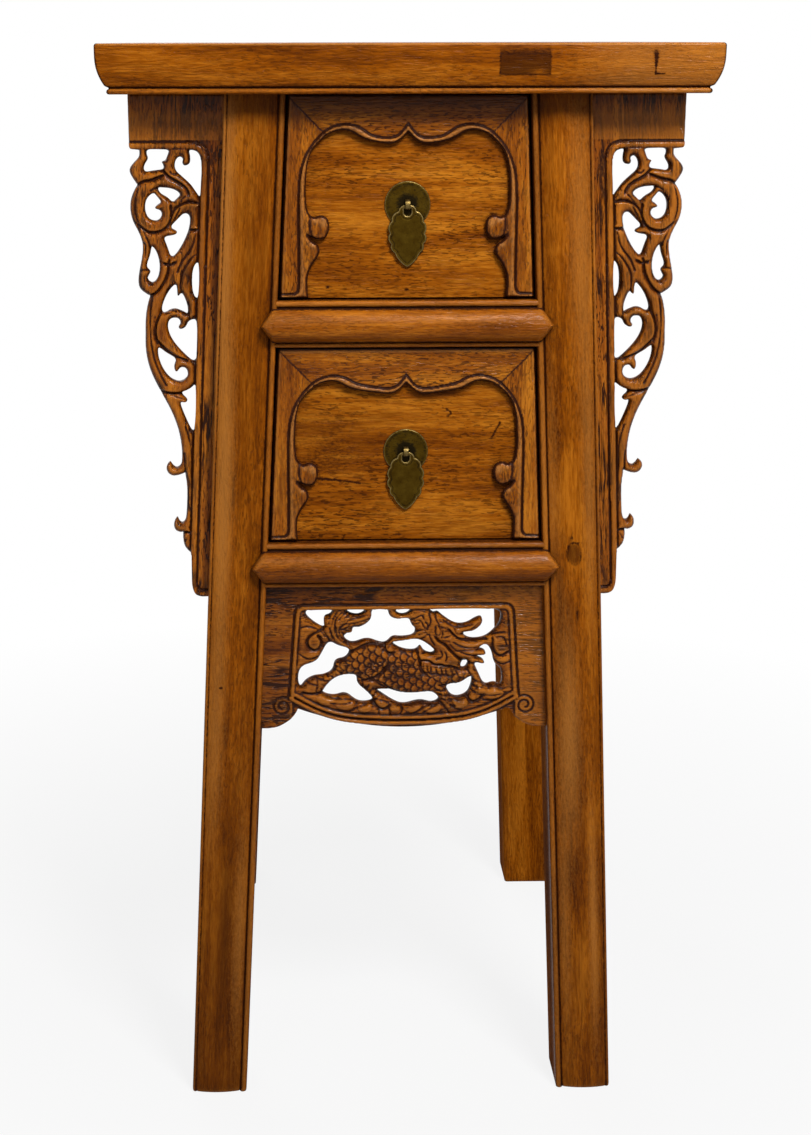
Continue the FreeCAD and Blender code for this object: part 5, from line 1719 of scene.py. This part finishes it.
        # Painted shadow under the arch's head and beside its right stile; the board's own stains join it in
        # the dark tone.
        under = ((self.top + 75.0 - grid.drop) / 30).clip(0, 1)
        shade = fading(rim, 6.5) * (0.30 * under + 0.18 * (grid.across > 0) * (1 - under))
        stain = shade + blots(grid.across, grid.drop, self.stains)
        height = self.thick - 0.12 + 0.12 * np.sin(grid.across / 17) * np.cos(grid.drop / 23)
        if self.scratches:
            line = grid.distance(curves(self.scratches), self.scratch)
            soil_and_shade += 1.1 * (1 - line / self.scratch)
        name = f"{self.name}_drawer_front"
        piece = grid.board(f"{name}_board", signed, height.clip(0, self.thick), face + self.thick,
                           Along.WIDTH, FRONT.place, soil_and_shade, stain=stain)
        piece.build(PANEL_WOOD, self.body, Slot.PANEL_WOOD, (name,))

    def build(self) -> None:
        """Builds the board and the arch on it."""
        self.panel()
        self.arch()


UPPER_FRONT = DrawerFront(
    "upper", Body.UPPER_DRAWER, top=1.5, foot=151.5, head_stain=0.78,
    marks=((-61, 143.5, 1.8, 1.3, 1.0), (0, 145.5, 1.4, 1.1, 0.9), (-60, 62, 14, 14, 0.16),
           (62, 60, 12, 16, 0.14), (-20, 140, 40, 6, 0.12)))
LOWER_FRONT = DrawerFront(
    "lower", Body.LOWER_DRAWER, top=190.5, foot=342.0, top_light=0.7, stains=((-52, 262, 36, 24, 0.24),),
    marks=((-5, 338, 1.4, 1.1, 0.9), (-64, 268, 20, 22, 0.26), (-45, 278, 30, 16, 0.20),
           (-52, 245, 22, 10, 0.16), (60, 250, 14, 12, 0.12), (-20, 330, 45, 7, 0.12)),
    scratches=([(-70, 293), (-52, 294), (-35, 297)], [(31, 238), (39, 241.5), (32, 244)],
               [(74, 249), (67, 262)]))


@dataclass(frozen=True)
class Pull:
    """A brass pull: a round plate, a flat strip bent to a ring, and a scalloped leaf hung from it."""
    name: str
    drawer: Body
    leaf_body: Body
    drop: float
    panel_face: float = 9.5
    plate_radius: float = 17.5
    plate_thick: float = 1.2
    standoff: float = 2.2
    strip_width: float = 3.8
    strip_outer: float = 4.2
    strip_thick: float = 1.0
    shank_end: float = 23.5
    leaf_thick: float = 1.4
    pitch: float = 0.3

    @property
    def ring_depth(self) -> float:
        """Depth of the ring's middle."""
        return self.panel_face - self.plate_thick - self.standoff

    def plate(self) -> None:
        """A turned disc: rings of points about its middle, domed a little and rounded at its rim."""
        share = np.array([0.02, 0.3, 0.55, 0.75, 0.88, 0.94, 0.975, 1.0, 1.0])
        rise = self.plate_thick * np.array([1.0, 0.98, 0.95, 0.9, 0.9, 1.0, 0.9, 0.45, 0.0])
        # The plate's middle is darkened, grimy and partly painted shade of the eye behind the ring.
        dirt = np.array([1.0, 0.95, 0.2, 0.2, 0.45, 0.1, 0.0, 0.0, 0.4])
        wear = np.array([0.0, 0.0, 0.05, 0.05, 0.0, 0.1, 0.4, 0.3, 0.0])
        turn = np.linspace(0, 2 * math.pi, 72, endpoint=False)
        across = self.plate_radius * share[:, None] * np.cos(turn)
        drop = self.drop + self.plate_radius * share[:, None] * np.sin(turn)
        rings = FRONT.place(across, self.panel_face - rise[:, None], drop)
        piece = Piece.through(f"{self.name}_pull_rose", rings, rings, dirt[:, None], wear[:, None])
        piece.build(AGED_BRASS, self.drawer, Slot.AGED_BRASS, (f"{self.name}_pull_plate",))

    def staple(self) -> None:
        """A flat strip bent round to a ring, and its shank back through the drawer's front."""
        turn = np.linspace(0, 2 * math.pi, 48, endpoint=False)[:, None]
        middle = self.strip_outer - self.strip_thick / 2
        corner = np.linspace(0, 2 * math.pi, 16, endpoint=False)
        wide = self.strip_width / 2 * np.clip(1.3 * np.cos(corner), -1, 1)
        thick = self.strip_thick / 2 * np.clip(1.3 * np.sin(corner), -1, 1)
        radius = middle + thick
        rings = FRONT.place(wide, self.ring_depth + radius * np.cos(turn), self.drop + radius * np.sin(turn))
        ring = Piece.through("ring", rings, rings, 0.0, 0.08 + 0.34 * np.sin(corner), closed=True)
        ends = np.array([self.ring_depth + middle, self.shank_end + 0.8])[:, None]
        rings = FRONT.place(wide, ends, self.drop + 2.2 * thick)
        shank = Piece.through("shank", rings, rings, 0.3, 0.0)
        piece = joined(f"{self.name}_pull_strip", [ring, shank])
        piece.build(AGED_BRASS, self.drawer, Slot.AGED_BRASS, (f"{self.name}_pull_staple",), 50.0)

    def leaf(self) -> None:
        """The leaf, cut along the edge of the frame's node: bevelled and bright along its lobes."""
        node = f"{self.name}_pull_leaf"
        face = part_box(node)[0][1] / MM
        middle = FRONT.place(0.0, self.ring_depth, self.drop)[2]
        edge = upright_edge(node, face)
        edge[..., 1] = middle - edge[..., 1]
        grid, distance, signed = Relief.about(edge, 1.5, self.pitch, 4.0)
        height = self.leaf_thick * (0.45 + 0.55 * rounded(distance / 1.1))
        height = height - 0.22 * fading(distance - 2.4, 0.6)
        bright = 0.5 * fading(distance - 0.5, 0.45)
        dull = 0.35 * fading(distance - 2.5, 0.7)

        def place(across: Array, depth: Array, drop: Array) -> Array:
            """Points of the upright leaf."""
            return np.stack([across, face + depth, middle - drop], -1)

        piece = grid.board(f"{node}_cut", signed, height, self.leaf_thick, Along.HEIGHT, place, dull, bright)
        piece.build(AGED_BRASS, self.leaf_body, Slot.AGED_BRASS, (node,), CARVED_SHARP)

    def build(self) -> None:
        """Builds the plate, the strip and the leaf."""
        self.plate()
        self.staple()
        self.leaf()


@dataclass(frozen=True)
class PlainBoards:
    """Boards whose shape the frame already has: they get eased edges and a finish."""
    ease: float = 0.7

    def dress(self) -> None:
        """Gives each board its bevel and its wood, the grain along its length."""
        drawers = [f"{level}_drawer" for level in LEVELS]
        sides = [f"{side}_{level}_side" for side in SIDES for level in LEVELS]
        ends = [f"{name}_{part}" for name in drawers for part in ("back", "bottom")]
        runs = [f"{level}_{side}_{part}" for level in LEVELS for side in SIDES
                for part in ("runner", "guide")]
        rows = [(["top_panel"], FRAME_WOOD, Along.WIDTH), (["top_brace"], INNER_WOOD, Along.DEPTH),
                ([f"back_{level}_rail" for level in LEVELS], FRAME_WOOD, Along.WIDTH),
                ([f"back_{level}_panel" for level in LEVELS], FRAME_WOOD, Along.WIDTH),
                ([f"{name}_rail" for name in sides], FRAME_WOOD, Along.DEPTH),
                ([f"{name}_panel" for name in sides], FRAME_WOOD, Along.DEPTH),
                (runs, INNER_WOOD, Along.DEPTH),
                ([f"{name}_{side}_side" for name in drawers for side in SIDES], INNER_WOOD, Along.DEPTH),
                (ends, INNER_WOOD, Along.WIDTH)]
        for names, finish, along in rows:
            for name in names:
                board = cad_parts[name]
                board.data.materials.clear()
                board.data.materials.append(finish.material(along))
                bevel = board.modifiers.new("eased", "BEVEL")
                bevel.width = self.ease * MM
                bevel.segments = 2
                bevel.limit_method = "ANGLE"
                LOG.info("%s: dressed in %s", name, finish.name)


def aim(thing: bpy.types.Object, at: Triple, right: Array, up: Array, back: Array) -> None:
    """Puts a light or the camera in the scene.

    Args:
        thing: the light or the camera.
        at: its place.
        right: direction of its right hand.
        up: direction of its top.
        back: direction of its back.
    """
    matrix = np.eye(4)
    matrix[:3] = np.stack([right, up, back, np.array(at) * MM], -1)
    thing.matrix_world = Matrix(matrix.tolist())
    bpy.context.scene.collection.objects.link(thing)


@dataclass(frozen=True)
class Lamp:
    """A square soft light: its place, the point it faces, the length of its sides and its watts."""
    name: str
    at: Triple
    to: Triple
    size: float
    power: float

    def build(self) -> None:
        """Adds the light, its back turned away from the point it faces."""
        data = bpy.data.lights.new(self.name, "AREA")
        data.size = self.size * MM
        data.energy = self.power
        back = np.array(self.at, float) - self.to
        back /= np.linalg.norm(back)
        right = np.cross((0, 0, 1), back)
        right /= np.linalg.norm(right)
        aim(bpy.data.objects.new(self.name, data), self.at, right, np.cross(back, right), back)


LAMPS = (
    Lamp("key", (480, -1250, 1960), (0, -150, 450), 460, 37.0),
    Lamp("back", (-700, 1900, 1900), (0, 100, 500), 1500, 16.0),
    Lamp("fill", (-1300, -1700, 1300), (0, -150, 500), 1500, 3.0),
    Lamp("left_glint", (-650, -1500, 1500), (0, -150, 560), 90, 0.9),
    Lamp("right_glint", (450, -1600, 1150), (0, -150, 560), 90, 0.9),
)


@dataclass(frozen=True)
class Studio:
    """Pale floor, soft lights and the camera of the photograph."""
    floor_radius: float = 60000.0
    floor_tone: float = 0.62
    floor_glow: float = 0.86
    shade_near: float = 300.0
    shade_far: float = 1100.0
    sky: float = 0.12
    eye: Triple = (-85.0, -1570.0, 862.0)
    pitch: float = 16.33
    yaw: float = 1.19
    roll: float = -0.10
    lens: float = 57.1
    shift: float = 0.063
    sensor: float = 36.0
    far: float = 100.0

    FLOOR_CORNERS = 96

    def floor(self) -> None:
        """A wide disc that glows a little to the camera, so that it reads white and keeps a soft shadow."""
        turn = np.linspace(0, 2 * math.pi, self.FLOOR_CORNERS, endpoint=False)
        ring = np.stack([np.cos(turn), np.sin(turn), np.zeros(turn.shape)], -1) * self.floor_radius * MM
        mesh = bpy.data.meshes.new("floor")
        mesh.from_pydata(ring.tolist(), [], [list(range(self.FLOOR_CORNERS))])
        made = bpy.data.materials.new("floor")
        graph = Graph.of(made)
        matt = graph.add("BsdfDiffuse", {"Color": opaque((self.floor_tone,) * 3)})
        glow = graph.add("Emission", {"Color": (1, 1, 1, 1), "Strength": 1.0})
        spot = graph.add("TexCoord", {}).outputs["Object"]
        away = graph.add("VectorMath", {0: spot}, operation="LENGTH").outputs["Value"]
        far = graph.ramp(away, self.shade_near * MM, self.shade_far * MM)
        glow_share = graph.math("MULTIPLY_ADD", far, 1 - self.floor_glow, self.floor_glow)
        share = graph.math("MULTIPLY", graph.seen(), glow_share)
        mixed = graph.add("MixShader", {0: share, 1: matt.outputs[0], 2: glow.outputs[0]})
        graph.add("OutputMaterial", {"Surface": mixed.outputs[0]})
        mesh.materials.append(made)
        floor = bpy.data.objects.new("floor", mesh)
        bpy.context.scene.collection.objects.link(floor)

    def surroundings(self) -> None:
        """White to the camera, to shiny and to clear surfaces; an even soft light to the rest."""
        world = bpy.data.worlds.new("studio")
        graph = Graph.of(world)
        light = graph.add("Background", {"Color": (1, 1, 1, 1), "Strength": self.sky})
        white = graph.add("Background", {"Color": (1, 1, 1, 1), "Strength": 1.0})
        mixed = graph.add("MixShader", {0: graph.seen(), 1: light.outputs[0], 2: white.outputs[0]})
        graph.add("OutputWorld", {"Surface": mixed.outputs[0]})
        bpy.context.scene.world = world

    def camera(self) -> None:
        """The camera: its look turned right by the yaw, down by the pitch, then rolled."""
        pitch, yaw, roll = (math.radians(angle) for angle in (self.pitch, self.yaw, self.roll))
        ahead = np.array([math.sin(yaw) * math.cos(pitch), math.cos(yaw) * math.cos(pitch), -math.sin(pitch)])
        right = np.array([math.cos(yaw), -math.sin(yaw), 0.0])
        up = np.cross(right, ahead)
        data = bpy.data.cameras.new("camera")
        data.sensor_width = self.sensor
        data.lens = self.lens
        data.shift_x = self.shift
        data.clip_end = self.far
        camera = bpy.data.objects.new("camera", data)
        aim(camera, self.eye, math.cos(roll) * right + math.sin(roll) * up,
            -math.sin(roll) * right + math.cos(roll) * up, -ahead)
        bpy.context.scene.camera = camera

    def build(self) -> None:
        """Sets up the floor, the surroundings, the lights and the camera."""
        self.floor()
        self.surroundings()
        for lamp in LAMPS:
            lamp.build()
        self.camera()
        bpy.context.scene.view_settings.view_transform = "Standard"


def main() -> None:
    """Builds every piece of the stand and the studio round it."""
    TopBoard().build()
    for side in Side:
        for rear in (False, True):
            Leg(side, rear).build()
        Spandrel(side).build()
    FrontRail("front_upper_rail", top=153.0).build()
    FrontRail("front_lower_rail", top=343.5).build()
    Apron().build()
    UPPER_FRONT.build()
    LOWER_FRONT.build()
    Pull("upper", Body.UPPER_DRAWER, Body.UPPER_PULL, drop=81.5).build()
    Pull("lower", Body.LOWER_DRAWER, Body.LOWER_PULL, drop=271.25).build()
    PlainBoards().dress()
    Studio().build()


if __name__ == "__main__":
    logging.basicConfig(level=logging.INFO)
    main()
